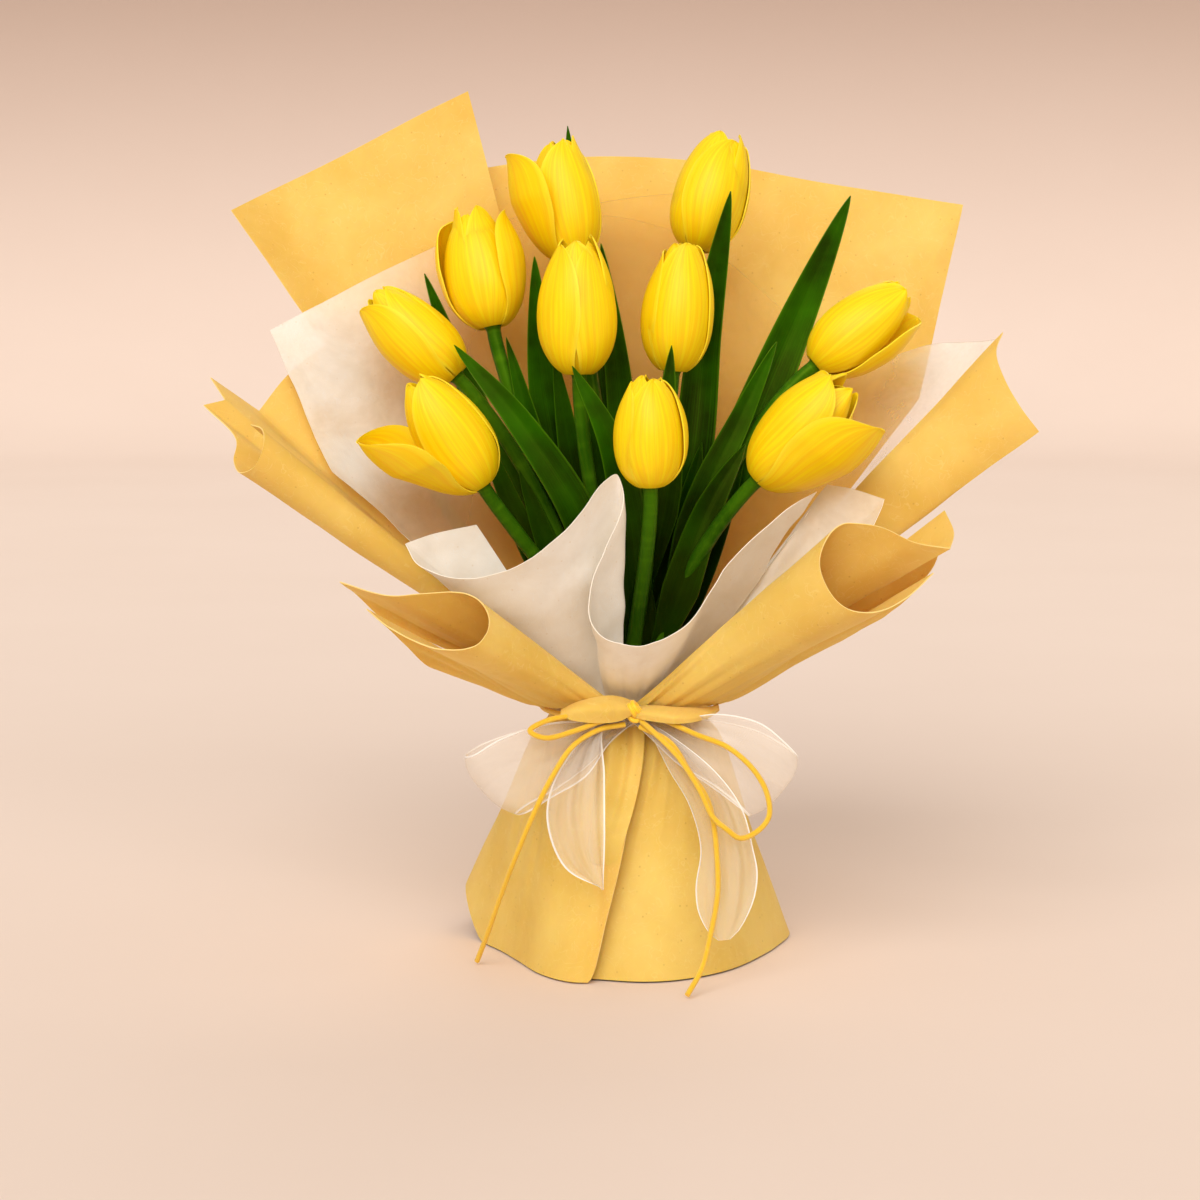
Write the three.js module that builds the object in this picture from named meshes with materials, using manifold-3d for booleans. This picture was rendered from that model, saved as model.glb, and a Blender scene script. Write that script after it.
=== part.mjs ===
// A standing bouquet: ten tulips with their leaves, held at the waist, wrapped in sheets of
// yellow paper and white tissue, and tied with an organza ribbon and a thin cord.
// Millimetres, +Z up. X runs to the right and -Y towards the front of the bouquet.
// The whole is built round the axis of the tie, and then moved so that the origin is on the
// surface it stands on, under the cut end of the middle stem.
import * as THREE from 'three';
import { mergeVertices } from 'three/addons/utils/BufferGeometryUtils.js';
import Module from 'manifold-3d';

const wasm = await Module();
wasm.setup();

// ---- driving dimensions ----
const TIE_HEIGHT = 117;          // middle of the tie above the surface
const NECK_WIDE = 37;            // half width of the wrapped neck, left to right
const NECK_DEEP = 30;            // half depth of the wrapped neck, front to back
const GROOVE = 4.5;              // half height of the groove that the tie lies in
const SHOULDER = 9.5;            // height of the skirt's rounded shoulder under the groove
const PAPER = 0.7;               // thickness of the yellow paper
const TISSUE = 0.6;              // thickness of the tissue
const STEM_RADIUS = 3.3;
const STEM_FLARE = 1.12;         // how far the cut ends stand apart below the tie
const PETAL = 1.1;               // thickness of a petal
const LEAF = 1.0;                // thickness of a leaf blade
const RIBBON = 0.7;              // thickness of the ribbon
const CORD_RADIUS = 1.25;
const CLEAR = 0.3;               // gap between pieces that touch

const colours = {
  petal: 0xf5cf12, leaf: 0x2f5f1c, paper: 0xe9b95c, tissue: 0xeadfd0,
  ribbon: 0xf1e6dc, cord: 0xf0b21c, band: 0xb98a4a,
};

function finish(colour, roughness) {
  return new THREE.MeshStandardMaterial({ color: colour, roughness, metalness: 0, side: THREE.DoubleSide });
}

const finishes = {
  petal: finish(colours.petal, 0.45),
  leaf: finish(colours.leaf, 0.5),
  paper: finish(colours.paper, 0.8),
  tissue: finish(colours.tissue, 0.85),
  ribbon: finish(colours.ribbon, 0.4),
  cord: finish(colours.cord, 0.6),
  band: finish(colours.band, 0.7),
};

const bouquet = new THREE.Group();

function addPiece(name, geometry, material) {
  const mesh = new THREE.Mesh(geometry, material);
  mesh.name = name;
  bouquet.add(mesh);
}

const vec = (p) => new THREE.Vector3(p[0], p[1], p[2]);

// ---- thin shells ----

// A closed shell of even thickness round the surface that at(i, j) gives on a grid of points.
// Both faces are split along the same diagonals.
function shell(columns, rows, at, thickness) {
  const middle = [];
  for (let j = 0; j < rows; j += 1) {
    for (let i = 0; i < columns; i += 1) middle.push(at(i, j));
  }
  const point = (i, j) => middle[j * columns + i];
  const positions = [];
  const faceSize = columns * rows;
  for (const side of [0.5, -0.5]) {
    for (let j = 0; j < rows; j += 1) {
      for (let i = 0; i < columns; i += 1) {
        const along = point(Math.min(i + 1, columns - 1), j).clone().sub(point(Math.max(i - 1, 0), j));
        const up = point(i, Math.min(j + 1, rows - 1)).clone().sub(point(i, Math.max(j - 1, 0)));
        const out = along.cross(up).normalize();
        const p = point(i, j).clone().addScaledVector(out, side * thickness);
        positions.push(p.x, p.y, Math.max(p.z, 0));
      }
    }
  }
  const front = (i, j) => j * columns + i;
  const back = (i, j) => faceSize + j * columns + i;
  const index = [];
  for (let j = 0; j < rows - 1; j += 1) {
    for (let i = 0; i < columns - 1; i += 1) {
      const rising = point(i, j).distanceTo(point(i + 1, j + 1));
      const falling = point(i + 1, j).distanceTo(point(i, j + 1));
      const corners = [[i, j], [i + 1, j], [i + 1, j + 1], [i, j + 1]];
      const split = rising <= falling ? [0, 1, 2, 0, 2, 3] : [0, 1, 3, 1, 2, 3];
      for (const c of split) index.push(front(...corners[c]));
      for (const c of split.slice().reverse()) index.push(back(...corners[c]));
    }
  }
  const rim = (a, b) => index.push(back(...a), back(...b), front(...b), back(...a), front(...b), front(...a));
  const lastRow = rows - 1;
  const lastColumn = columns - 1;
  for (let i = 0; i < lastColumn; i += 1) {
    rim([i, 0], [i + 1, 0]);
    rim([i + 1, lastRow], [i, lastRow]);
  }
  for (let j = 0; j < lastRow; j += 1) {
    rim([0, j + 1], [0, j]);
    rim([lastColumn, j], [lastColumn, j + 1]);
  }
  const geometry = new THREE.BufferGeometry();
  geometry.setAttribute('position', new THREE.Float32BufferAttribute(positions, 3));
  geometry.setIndex(index);
  return geometry;
}

// ---- joining solids ----

function toSolid(geometry) {
  const bare = geometry.clone();
  bare.deleteAttribute('normal');
  bare.deleteAttribute('uv');
  const merged = mergeVertices(bare, 1e-4);
  return new wasm.Manifold(new wasm.Mesh({
    numProp: 3,
    vertProperties: new Float32Array(merged.attributes.position.array),
    triVerts: new Uint32Array(merged.index.array),
  }));
}

function joined(geometries) {
  let solid = toSolid(geometries[0]);
  for (const geometry of geometries.slice(1)) solid = solid.add(toSolid(geometry));
  const mesh = solid.getMesh();
  const result = new THREE.BufferGeometry();
  result.setAttribute('position', new THREE.Float32BufferAttribute(mesh.vertProperties, 3));
  result.setIndex(Array.from(mesh.triVerts));
  return result;
}

// A round rod of the given radius along a curve.
function rod(curve, radius, sides, steps) {
  const corners = Array.from({ length: sides }, (_, n) => {
    const a = (n / sides) * Math.PI * 2;
    return new THREE.Vector2(radius * Math.cos(a), radius * Math.sin(a));
  });
  const section = new THREE.Shape(corners);
  return new THREE.ExtrudeGeometry(section, { steps, extrudePath: curve, bevelEnabled: false });
}

// ---- sheets of paper and tissue ----

// A point on the wrapped neck: angle in degrees, 0 at the right, 90 at the back, 270 in front,
// and layer 1 for the outermost sheet, less for those inside it.
function neck(angle, layer, height) {
  const a = THREE.MathUtils.degToRad(angle);
  return new THREE.Vector3(NECK_WIDE * layer * Math.cos(a), NECK_DEEP * layer * Math.sin(a), height);
}

// Rows of a sheet that reaches below the tie as a skirt: hem, skirt, groove, lip over the tie, flap.
function skirtedRows({ at, layer, hem, edge, lip = 0.16 }) {
  const low = neck(at, layer, TIE_HEIGHT - GROOVE);
  const high = neck(at, layer, TIE_HEIGHT + GROOVE);
  const foot = vec(hem);
  const drop = Math.min(SHOULDER, 0.6 * (low.z - foot.z));
  const flare = 1 + 0.2 * (drop / SHOULDER);
  const shoulder = low.clone().multiply(new THREE.Vector3(flare, flare, 1)).setZ(low.z - drop);
  const over = high.clone().multiply(new THREE.Vector3(1 + lip, 1 + lip, 1)).setZ(TIE_HEIGHT + GROOVE - 1.2);
  const rim = vec(edge);
  return [
    foot,
    foot.clone().lerp(shoulder, 0.5),
    shoulder, low, high, over,
    over.clone().lerp(rim, 0.5),
    rim,
  ];
}

// Rows of a sheet that ends just below the tie, drawn in against the stems.
const DRAWN_IN = 0.17;
function tuckedRows({ at, layer, edge }) {
  const tuck = neck(at, layer - DRAWN_IN, TIE_HEIGHT - GROOVE - 6);
  const high = neck(at, layer, TIE_HEIGHT + GROOVE);
  const rim = vec(edge);
  return [tuck, high, high.clone().lerp(rim, 0.3), high.clone().lerp(rim, 0.65), rim];
}

// A sheet from its ribs, one for each measured place along its edge.
function sheet(ribs, rowsOf, thickness, between = 1) {
  const rows = ribs.map(rowsOf);
  const lines = rows[0].map((_, r) => new THREE.CatmullRomCurve3(rows.map((column) => column[r])));
  const columns = (ribs.length - 1) * between + 1;
  return shell(columns, lines.length, (i, j) => lines[j].getPoint(i / (columns - 1)), thickness);
}

// Front left paper: the left half of the skirt, and above the tie a flap rolled into a scroll
// whose open mouth looks forward and up. From the back left, round the front, to the inside,
// where the last two ribs turn down again behind the mouth.
const frontLeft = [
  { at: 150, layer: 1, hem: [-66, 78, 6], edge: [-48, 28, 128], lip: 0.2 },
  { at: 172, layer: 1, hem: [-79, 56, 20], edge: [-62, 6, 130], lip: 0.25 },
  { at: 192, layer: 1, hem: [-70, 16, 0], edge: [-90, -46, 142], lip: 0.3 },
  { at: 206, layer: 1, hem: [-60, -3, 0], edge: [-104, -70, 160], lip: 0.3 },
  { at: 218, layer: 1, hem: [-51, -23, 0], edge: [-115, -86, 173], lip: 0.3 },
  { at: 230, layer: 1, hem: [-42, -44, 0], edge: [-102, -98, 165], lip: 0.28 },
  { at: 240, layer: 1, hem: [-33, -56, 0], edge: [-82, -104, 158], lip: 0.25 },
  { at: 248, layer: 1, hem: [-26, -61, 0], edge: [-69, -102, 158], lip: 0.22 },
  { at: 255, layer: 1, hem: [-19, -62, 0], edge: [-64, -96, 164], lip: 0.18 },
  { at: 261, layer: 0.99, hem: [-11, -59, 28], edge: [-62, -88, 172], lip: 0.12 },
  { at: 265, layer: 0.97, hem: [-3, -53, 60], edge: [-65, -84, 175], lip: 0.09 },
  { at: 265, layer: 0.93, hem: [2, -41, 94], edge: [-72, -80, 178], lip: 0.06 },
  { at: 258, layer: 0.89, hem: [-3, -29, 106], edge: [-82, -76, 179], lip: 0.03 },
  { at: 249, layer: 0.88, hem: [-11, -27, 106], edge: [-92, -74, 178], lip: 0.02 },
  { at: 236, layer: 0.88, hem: [-18, -22, 106], edge: [-108, -72, 177], lip: 0.02 },
  { at: 222, layer: 0.88, hem: [-24, -17, 106], edge: [-128, -70, 183], lip: 0.02 },
  { at: 215, layer: 0.88, hem: [-27, -13, 106], edge: [-122, -58, 176], lip: 0.02 },
  { at: 208, layer: 0.88, hem: [-29, -9, 106], edge: [-110, -52, 163], lip: 0.02 },
];

// Front right paper: the right half of the skirt, running under the left half in front, and
// above the tie the right scroll. From the back right, round the front, to the inside, where
// the last two ribs turn down again behind the mouth.
const frontRight = [
  { at: 388, layer: 0.95, hem: [68, 66, 6], edge: [48, 24, 128], lip: 0.2 },
  { at: 368, layer: 0.95, hem: [78, 34, 0], edge: [62, 2, 130], lip: 0.25 },
  { at: 348, layer: 0.95, hem: [71, 8, 0], edge: [106, -46, 160], lip: 0.3 },
  { at: 334, layer: 0.95, hem: [60, -16, 0], edge: [119, -64, 172], lip: 0.3 },
  { at: 322, layer: 0.95, hem: [47, -37, 0], edge: [132, -80, 188], lip: 0.3 },
  { at: 310, layer: 0.95, hem: [32, -51, 0], edge: [118, -92, 178], lip: 0.28 },
  { at: 300, layer: 0.95, hem: [16, -59, 0], edge: [104, -98, 173], lip: 0.25 },
  { at: 292, layer: 0.95, hem: [2, -60, 0], edge: [92, -100, 175], lip: 0.22 },
  { at: 286, layer: 0.95, hem: [-10, -57, 0], edge: [85, -98, 182], lip: 0.18 },
  { at: 279, layer: 0.945, hem: [-21, -54, 0], edge: [81, -92, 194], lip: 0.14 },
  { at: 272, layer: 0.93, hem: [-30, -47, 0], edge: [86, -86, 206], lip: 0.1 },
  { at: 268.5, layer: 0.885, hem: [-20, -39, 45], edge: [92, -83, 210], lip: 0.07 },
  { at: 270, layer: 0.88, hem: [-9, -34, 88], edge: [98, -81, 210], lip: 0.04 },
  { at: 287, layer: 0.87, hem: [6, -27, 106], edge: [109, -79, 208], lip: 0.02 },
  { at: 299, layer: 0.87, hem: [16, -23, 106], edge: [124, -77, 201], lip: 0.02 },
  { at: 312, layer: 0.87, hem: [21, -19, 106], edge: [140, -72, 198], lip: 0.02 },
  { at: 324, layer: 0.87, hem: [26, -15, 106], edge: [143, -60, 204], lip: 0.02 },
  { at: 336, layer: 0.87, hem: [29, -11, 106], edge: [141, -44, 212], lip: 0.02 },
  { at: 343, layer: 0.87, hem: [30, -8, 106], edge: [139, -38, 199], lip: 0.02 },
  { at: 350, layer: 0.87, hem: [31, -4, 106], edge: [126, -38, 182], lip: 0.02 },
];

// Back left paper: the tall panel on the left, its left edge bent forward.
const backLeft = [
  { at: 166, layer: 0.73, hem: [-62, 40, 4], edge: [-192, 78, 347], lip: 0.02 },
  { at: 158, layer: 0.75, hem: [-68, 58, 2], edge: [-176, 88, 356], lip: 0.02 },
  { at: 146, layer: 0.8, hem: [-60, 74, 0], edge: [-152, 95, 368], lip: 0.02 },
  { at: 130, layer: 0.85, hem: [-40, 84, 0], edge: [-126, 98, 381], lip: 0.03 },
  { at: 112, layer: 0.87, hem: [-14, 88, 0], edge: [-101, 97, 394], lip: 0.02 },
  { at: 94, layer: 0.86, hem: [14, 87, 0], edge: [-78, 95, 405], lip: 0.02 },
];

// Back right paper: the wide panel behind the middle and the right.
const backRight = [
  { at: 112, layer: 0.95, hem: [-24, 92, 0], edge: [-82, 104, 366], lip: 0.2 },
  { at: 100, layer: 0.95, hem: [-4, 94, 0], edge: [-52, 110, 371], lip: 0.2 },
  { at: 86, layer: 0.95, hem: [20, 91, 0], edge: [-10, 114, 374], lip: 0.2 },
  { at: 70, layer: 0.93, hem: [42, 82, 0], edge: [42, 114, 371], lip: 0.16 },
  { at: 52, layer: 0.88, hem: [58, 70, 0], edge: [96, 108, 361], lip: 0.08 },
  { at: 34, layer: 0.83, hem: [66, 56, 2], edge: [165, 98, 350], lip: 0.04 },
  { at: 20, layer: 0.8, hem: [68, 42, 3], edge: [155, 88, 309], lip: 0.02 },
  { at: 8, layer: 0.78, hem: [66, 28, 4], edge: [142, 74, 256], lip: 0.02 },
];

// Left side paper: rises behind the tissue, folds out to a point, and rolls into an open tube.
const sideLeft = [
  { at: 168, layer: 0.68, edge: [-138, 52, 288] },
  { at: 173, layer: 0.68, edge: [-161, 40, 270] },
  { at: 178, layer: 0.68, edge: [-174, 27, 253] },
  { at: 182, layer: 0.68, edge: [-195, 15, 269] },
  { at: 186, layer: 0.68, edge: [-200, 6, 266] },
  { at: 190, layer: 0.68, edge: [-196, -3, 257] },
  { at: 194, layer: 0.68, edge: [-180, -14, 242] },
  { at: 197, layer: 0.68, edge: [-180, -24, 233] },
  { at: 200, layer: 0.68, edge: [-176, -34, 228] },
  { at: 203, layer: 0.68, edge: [-168, -42, 232] },
  { at: 206, layer: 0.68, edge: [-164, -43, 241] },
  { at: 209, layer: 0.67, edge: [-165, -37, 248] },
  { at: 212, layer: 0.64, edge: [-171, -29, 250] },
];

// Right side paper: a broad curl that hangs out to the right and turns under at its lower edge.
const sideRight = [
  { at: 298, layer: 0.68, edge: [173, 8, 290] },
  { at: 309, layer: 0.68, edge: [169, 0, 281] },
  { at: 320, layer: 0.68, edge: [172, -8, 269] },
  { at: 331, layer: 0.68, edge: [179, -14, 256] },
  { at: 341, layer: 0.68, edge: [187, -12, 246] },
  { at: 352, layer: 0.68, edge: [182, 12, 248] },
  { at: 364, layer: 0.68, edge: [168, 36, 252] },
  { at: 376, layer: 0.68, edge: [152, 54, 258] },
];

const tissueBackLeft = [
  { at: 196, layer: 0.6, edge: [-138, 12, 226] },
  { at: 186, layer: 0.6, edge: [-147, 20, 241] },
  { at: 172, layer: 0.6, edge: [-170, 40, 290] },
  { at: 150, layer: 0.6, edge: [-138, 50, 307] },
  { at: 130, layer: 0.6, edge: [-103, 60, 325] },
  { at: 108, layer: 0.6, edge: [-60, 70, 342] },
  { at: 86, layer: 0.6, edge: [-14, 78, 351] },
  { at: 66, layer: 0.6, edge: [27, 85, 356] },
];

const tissueBackRight = [
  { at: 118, layer: 0.64, edge: [-33, 90, 346] },
  { at: 96, layer: 0.64, edge: [4, 92, 342] },
  { at: 72, layer: 0.64, edge: [38, 84, 330] },
  { at: 46, layer: 0.64, edge: [80, 68, 296] },
  { at: 20, layer: 0.64, edge: [118, 52, 277] },
  { at: 0, layer: 0.64, edge: [146, 44, 283] },
  { at: 342, layer: 0.64, edge: [172, 20, 287] },
];

// Front tissue: one sheet that folds back on the left, rises to a peak in the middle, doubles
// forward into a cupped lip and runs out along the right.
const tissueFront = [
  { at: 230, layer: 0.73, edge: [-69, -36, 205] },
  { at: 222, layer: 0.74, edge: [-88, -48, 202] },
  { at: 217, layer: 0.76, edge: [-99, -58, 199] },
  { at: 218, layer: 0.78, edge: [-92, -66, 189] },
  { at: 222, layer: 0.78, edge: [-78, -70, 185] },
  { at: 230, layer: 0.78, edge: [-50, -70, 190] },
  { at: 240, layer: 0.78, edge: [-24, -62, 211] },
  { at: 252, layer: 0.78, edge: [-12, -55, 226] },
  { at: 260, layer: 0.79, edge: [-6, -51, 229] },
  { at: 264, layer: 0.82, edge: [-3, -52, 220] },
  { at: 258, layer: 0.83, edge: [-12, -58, 195] },
  { at: 250, layer: 0.83, edge: [-18, -62, 176] },
  { at: 254, layer: 0.83, edge: [-17, -66, 164] },
  { at: 262, layer: 0.83, edge: [-9, -68, 157] },
  { at: 272, layer: 0.82, edge: [4, -68, 154] },
  { at: 283, layer: 0.79, edge: [20, -62, 160] },
  { at: 292, layer: 0.78, edge: [31, -57, 169] },
  { at: 300, layer: 0.78, edge: [42, -52, 186] },
  { at: 309, layer: 0.78, edge: [66, -45, 209] },
  { at: 318, layer: 0.78, edge: [84, -36, 220] },
];

const tissueRight = [
  { at: 300, layer: 0.73, edge: [52, -22, 168] },
  { at: 306, layer: 0.73, edge: [74, -23, 200] },
  { at: 313, layer: 0.73, edge: [90, -22, 222] },
  { at: 320, layer: 0.73, edge: [100, -30, 221] },
  { at: 327, layer: 0.73, edge: [114, -41, 217] },
  { at: 334, layer: 0.73, edge: [108, -49, 205] },
];

function addWrap() {
  addPiece('paper_front_left', sheet(frontLeft, skirtedRows, PAPER), finishes.paper);
  addPiece('paper_front_right', sheet(frontRight, skirtedRows, PAPER), finishes.paper);
  addPiece('paper_back_left', sheet(backLeft, skirtedRows, PAPER), finishes.paper);
  addPiece('paper_back_right', sheet(backRight, skirtedRows, PAPER), finishes.paper);
  addPiece('paper_side_left', sheet(sideLeft, tuckedRows, PAPER), finishes.paper);
  addPiece('paper_side_right', sheet(sideRight, tuckedRows, PAPER, 2), finishes.paper);
  addPiece('tissue_back_left', sheet(tissueBackLeft, tuckedRows, TISSUE), finishes.tissue);
  addPiece('tissue_back_right', sheet(tissueBackRight, tuckedRows, TISSUE), finishes.tissue);
  addPiece('tissue_front', sheet(tissueFront, tuckedRows, TISSUE), finishes.tissue);
  addPiece('tissue_right', sheet(tissueRight, tuckedRows, TISSUE, 2), finishes.tissue);
}

// ---- tulips ----

// Each tulip: its place in the bundle at the tie, the base and tip of its bloom, the bloom's
// widest radius, how far its petals are turned round, and any petals that stand open.
const tulips = [
  { slot: [0, 6], base: [-26, 38, 321], tip: [-34, 44, 379], radius: 16, turn: 30, open: { 4: 16 },
    leaves: [
      { from: 0.3, through: [[-16, 44, 250], [-24, 66, 322]], tip: [-29, 66, 387], width: 9 },
      { from: 0.22, through: [[0, 18, 205], [-5, 22, 270]], tip: [-13, 22, 331], width: 8 },
    ] },
  { slot: [6.9, 6], base: [31, 38, 327], tip: [46, 46, 382], radius: 17.5, turn: 25, open: {},
    leaves: [{ from: 0.25, through: [[28, 16, 225], [36, 24, 290]], tip: [47, 16, 355], width: 10 }] },
  { slot: [-6.9, 6], base: [-63, 16, 291], tip: [-74, 24, 347], radius: 17.5, turn: 100, open: { 0: 8, 2: 8 },
    leaves: [{ from: 0.28, through: [[-28, 14, 205], [-40, 18, 265]], tip: [-44, 20, 325], width: 9 }] },
  { slot: [-10.35, 0], base: [-79, 4, 269], tip: [-116, 6, 308], radius: 15.5, turn: 60, open: { 4: 6 },
    leaves: [{ from: 0.3, through: [[-56, 21, 222], [-79, 34, 272]], tip: [-96, 32, 317], width: 7.5 }] },
  { slot: [-3.45, 0], base: [-23, -8, 270], tip: [-24, -8, 333], radius: 17.8, turn: 55, open: {},
    leaves: [] },
  { slot: [3.45, 0], base: [20, 2, 271], tip: [25, 4, 331], radius: 16.3, turn: 15, open: {},
    leaves: [
      { from: 0.35, through: [[18, -14, 225], [17, -20, 255]], tip: [19, -19, 285], width: 7 },
    ] },
  { slot: [-6.9, -6], base: [-66, -28, 221], tip: [-98, -36, 271], radius: 17, turn: 30, open: { 4: 30 },
    leaves: [{ from: 0.25, through: [[-20, -20, 200], [-50, -18, 250]], tip: [-80, -12, 285], width: 9 }] },
  { slot: [0, -6], base: [9, -46, 222], tip: [8, -50, 272], radius: 16, turn: 20, open: {},
    leaves: [{ from: 0.25, through: [[2, -26, 190], [-8, -28, 240]], tip: [-26, -27, 276], width: 9 }] },
  { slot: [10.35, 0], base: [85, 6, 274], tip: [128, 9, 309], radius: 15.5, turn: 110, open: { 0: 8 },
    leaves: [{ from: 0.3, through: [[48, 12, 225], [76, 22, 290]], tip: [103, 22, 353], width: 12 }] },
  { slot: [6.9, -6], base: [57, -30, 224], tip: [100, -42, 268], radius: 17, turn: 60, open: { 0: 16, 4: 5 },
    leaves: [
      { from: 0.3, through: [[34, -6, 215], [51, -1, 250]], tip: [68, 3, 286], width: 8 },
      { from: 0.2, through: [[22, -20, 170], [36, -18, 210]], tip: [53, -14, 240], width: 9 },
    ] },
];

// The curve of a stem from the tie up to the base of its bloom.
function stemCurve({ slot, base, tip }) {
  const foot = new THREE.Vector3(slot[0], slot[1], TIE_HEIGHT);
  const top = vec(base);
  const axis = vec(tip).sub(top).normalize();
  const reach = top.distanceTo(foot);
  return new THREE.CubicBezierCurve3(
    foot,
    foot.clone().add(new THREE.Vector3(slot[0] * 0.5, slot[1] * 0.5, reach * 0.3)),
    top.clone().addScaledVector(axis, -reach * 0.3),
    top,
  );
}

// The lower end of a stem is cut level with the surface that the bouquet stands on.
function cutLevel(geometry) {
  const position = geometry.attributes.position;
  for (let n = 0; n < position.count; n += 1) {
    if (position.getZ(n) < 1) position.setZ(n, 0);
  }
  return geometry;
}

const STEM_SIDES = 7;
function stem(tulip) {
  const upper = stemCurve(tulip);
  const axis = vec(tulip.tip).sub(vec(tulip.base)).normalize();
  const points = [0, 0.55, 0.88].map((part) => {
    const apart = STEM_FLARE + (1 - STEM_FLARE) * part;
    return new THREE.Vector3(tulip.slot[0] * apart, tulip.slot[1] * apart, TIE_HEIGHT * part);
  });
  for (const t of [0, 0.2, 0.4, 0.6, 0.8]) points.push(upper.getPoint(t));
  points.push(vec(tulip.base).addScaledVector(axis, -6), vec(tulip.base).addScaledVector(axis, -2 * CLEAR));
  return cutLevel(rod(new THREE.CatmullRomCurve3(points), STEM_RADIUS, STEM_SIDES, 9));
}

// A long pointed leaf, hollowed along its middle, that starts inside its stem.
const LEAF_COLUMNS = [-1, 0, 1];
const LEAF_ROWS = 8;
function leaf(tulip, { from, through, tip, width }) {
  const start = stemCurve(tulip).getPoint(from);
  const middle = new THREE.CatmullRomCurve3([start, ...through.map(vec), vec(tip)]);
  const facing = new THREE.Vector3(0, -1, 0.15);
  return shell(LEAF_COLUMNS.length, LEAF_ROWS, (i, j) => {
    const s = j / (LEAF_ROWS - 1);
    const half = width * Math.min(1, 0.25 + 2.2 * s) * Math.pow(Math.max(1 - Math.pow(s, 2.6), 0.004), 0.75);
    const along = middle.getTangentAt(Math.min(s, 0.98));
    const across = along.clone().cross(facing).normalize();
    const face = across.clone().cross(along);
    const u = LEAF_COLUMNS[i];
    return middle.getPointAt(s)
      .addScaledVector(across, u * half)
      .addScaledVector(face, Math.abs(u) * half * 0.35);
  }, LEAF);
}

// The half width of the bloom's cup at t, 0 at its base and 1 at its rim.
const WIDEST = 0.44;
const MOUTH = 0.58;
function cup(t) {
  if (t < WIDEST) return Math.sqrt(1 - Math.pow(1 - t / WIDEST, 2.2));
  return 1 - MOUTH * Math.pow((t - WIDEST) / (1 - WIDEST), 2.1);
}

const OUTER = {
  columns: [-1, -0.35, 0.35, 1], rows: [0.07, 0.28, 0.55, 0.8, 0.93, 1], inset: 0, reach: 0.97,
};
const INNER = {
  columns: [-1, 0, 1], rows: [0.08, 0.32, 0.62, 0.86, 1], inset: 2.8, reach: 1,
};
const PETAL_SPREAD = THREE.MathUtils.degToRad(58);

// One petal, lying on the cup: order 0, 2 and 4 are the outer ones, 1, 3 and 5 the inner.
function petal(frame, length, radius, order, turn, open) {
  const kind = order % 2 ? INNER : OUTER;
  const middle = THREE.MathUtils.degToRad(turn + order * 60);
  return shell(kind.columns.length, kind.rows.length, (i, j) => {
    const t = kind.rows[j];
    const spread = PETAL_SPREAD * Math.pow(Math.max(1 - Math.pow(t, 6), 0.01), 0.55);
    const angle = middle - kind.columns[i] * spread;
    let out = radius * cup(t) - kind.inset;
    let up = length * kind.reach * t;
    const lean = THREE.MathUtils.degToRad(open) * Math.min(1, 0.4 + t);
    [out, up] = [
      out * Math.cos(lean) + up * Math.sin(lean),
      up * Math.cos(lean) - out * Math.sin(lean) * 0.3,
    ];
    return frame.base.clone()
      .addScaledVector(frame.axis, up)
      .addScaledVector(frame.front, out * Math.cos(angle))
      .addScaledVector(frame.right, out * Math.sin(angle));
  }, PETAL);
}

// The solid foot of a bloom, which all its petals grow from.
function seat(frame, length, radius) {
  const stand = (t) => radius * cup(t) + PETAL;
  const profile = [
    [0, 0], [radius * 0.3, 0], [stand(0.04), length * 0.04], [stand(0.12), length * 0.12], [0, length * 0.15],
  ].map(([out, up]) => new THREE.Vector2(out, up));
  const solid = new THREE.LatheGeometry(profile, 8);
  solid.applyQuaternion(new THREE.Quaternion().setFromUnitVectors(new THREE.Vector3(0, 1, 0), frame.axis));
  return solid.translate(frame.base.x, frame.base.y, frame.base.z);
}

function bloom({ base, tip, radius, turn, open }) {
  const start = vec(base);
  const axis = vec(tip).sub(start);
  const length = axis.length();
  axis.normalize();
  const viewer = new THREE.Vector3(0, -1, 0);
  const front = viewer.clone().addScaledVector(axis, -viewer.dot(axis)).normalize();
  const right = axis.clone().cross(front);
  const frame = { base: start, axis, front, right };
  const pieces = [seat(frame, length, radius)];
  for (let order = 0; order < 6; order += 1) {
    pieces.push(petal(frame, length, radius, order, turn, open[order] ?? 0));
  }
  return joined(pieces);
}

function addTulips() {
  tulips.forEach((tulip, n) => {
    const number = String(n + 1).padStart(2, '0');
    const green = [stem(tulip), ...tulip.leaves.map((one) => leaf(tulip, one))];
    addPiece(`tulip_${number}_stem`, joined(green), finishes.leaf);
    addPiece(`tulip_${number}_bloom`, bloom(tulip), finishes.petal);
  });
}

// ---- ribbon ----

const bandWide = NECK_WIDE + PAPER / 2 + CLEAR;
const bandDeep = NECK_DEEP + PAPER / 2 + CLEAR;
const RIBBON_BAND = { thick: 1.2, height: 6 };
const KNOT = { centre: [2, -37, 118], size: [5, 5.6, 5.5] };

function ellipsoid({ centre, size }, across, down) {
  const solid = new THREE.SphereGeometry(1, across, down);
  return solid.scale(...size).translate(...centre);
}

function ring(wide, deep, thick, height, segments) {
  const outline = new THREE.Shape();
  outline.absellipse(0, 0, wide + thick, deep + thick, 0, Math.PI * 2);
  const hole = new THREE.Path();
  hole.absellipse(0, 0, wide, deep, 0, Math.PI * 2, true);
  outline.holes.push(hole);
  const options = { depth: height, bevelEnabled: false, curveSegments: segments };
  return new THREE.ExtrudeGeometry(outline, options).translate(0, 0, TIE_HEIGHT - height / 2);
}

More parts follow.
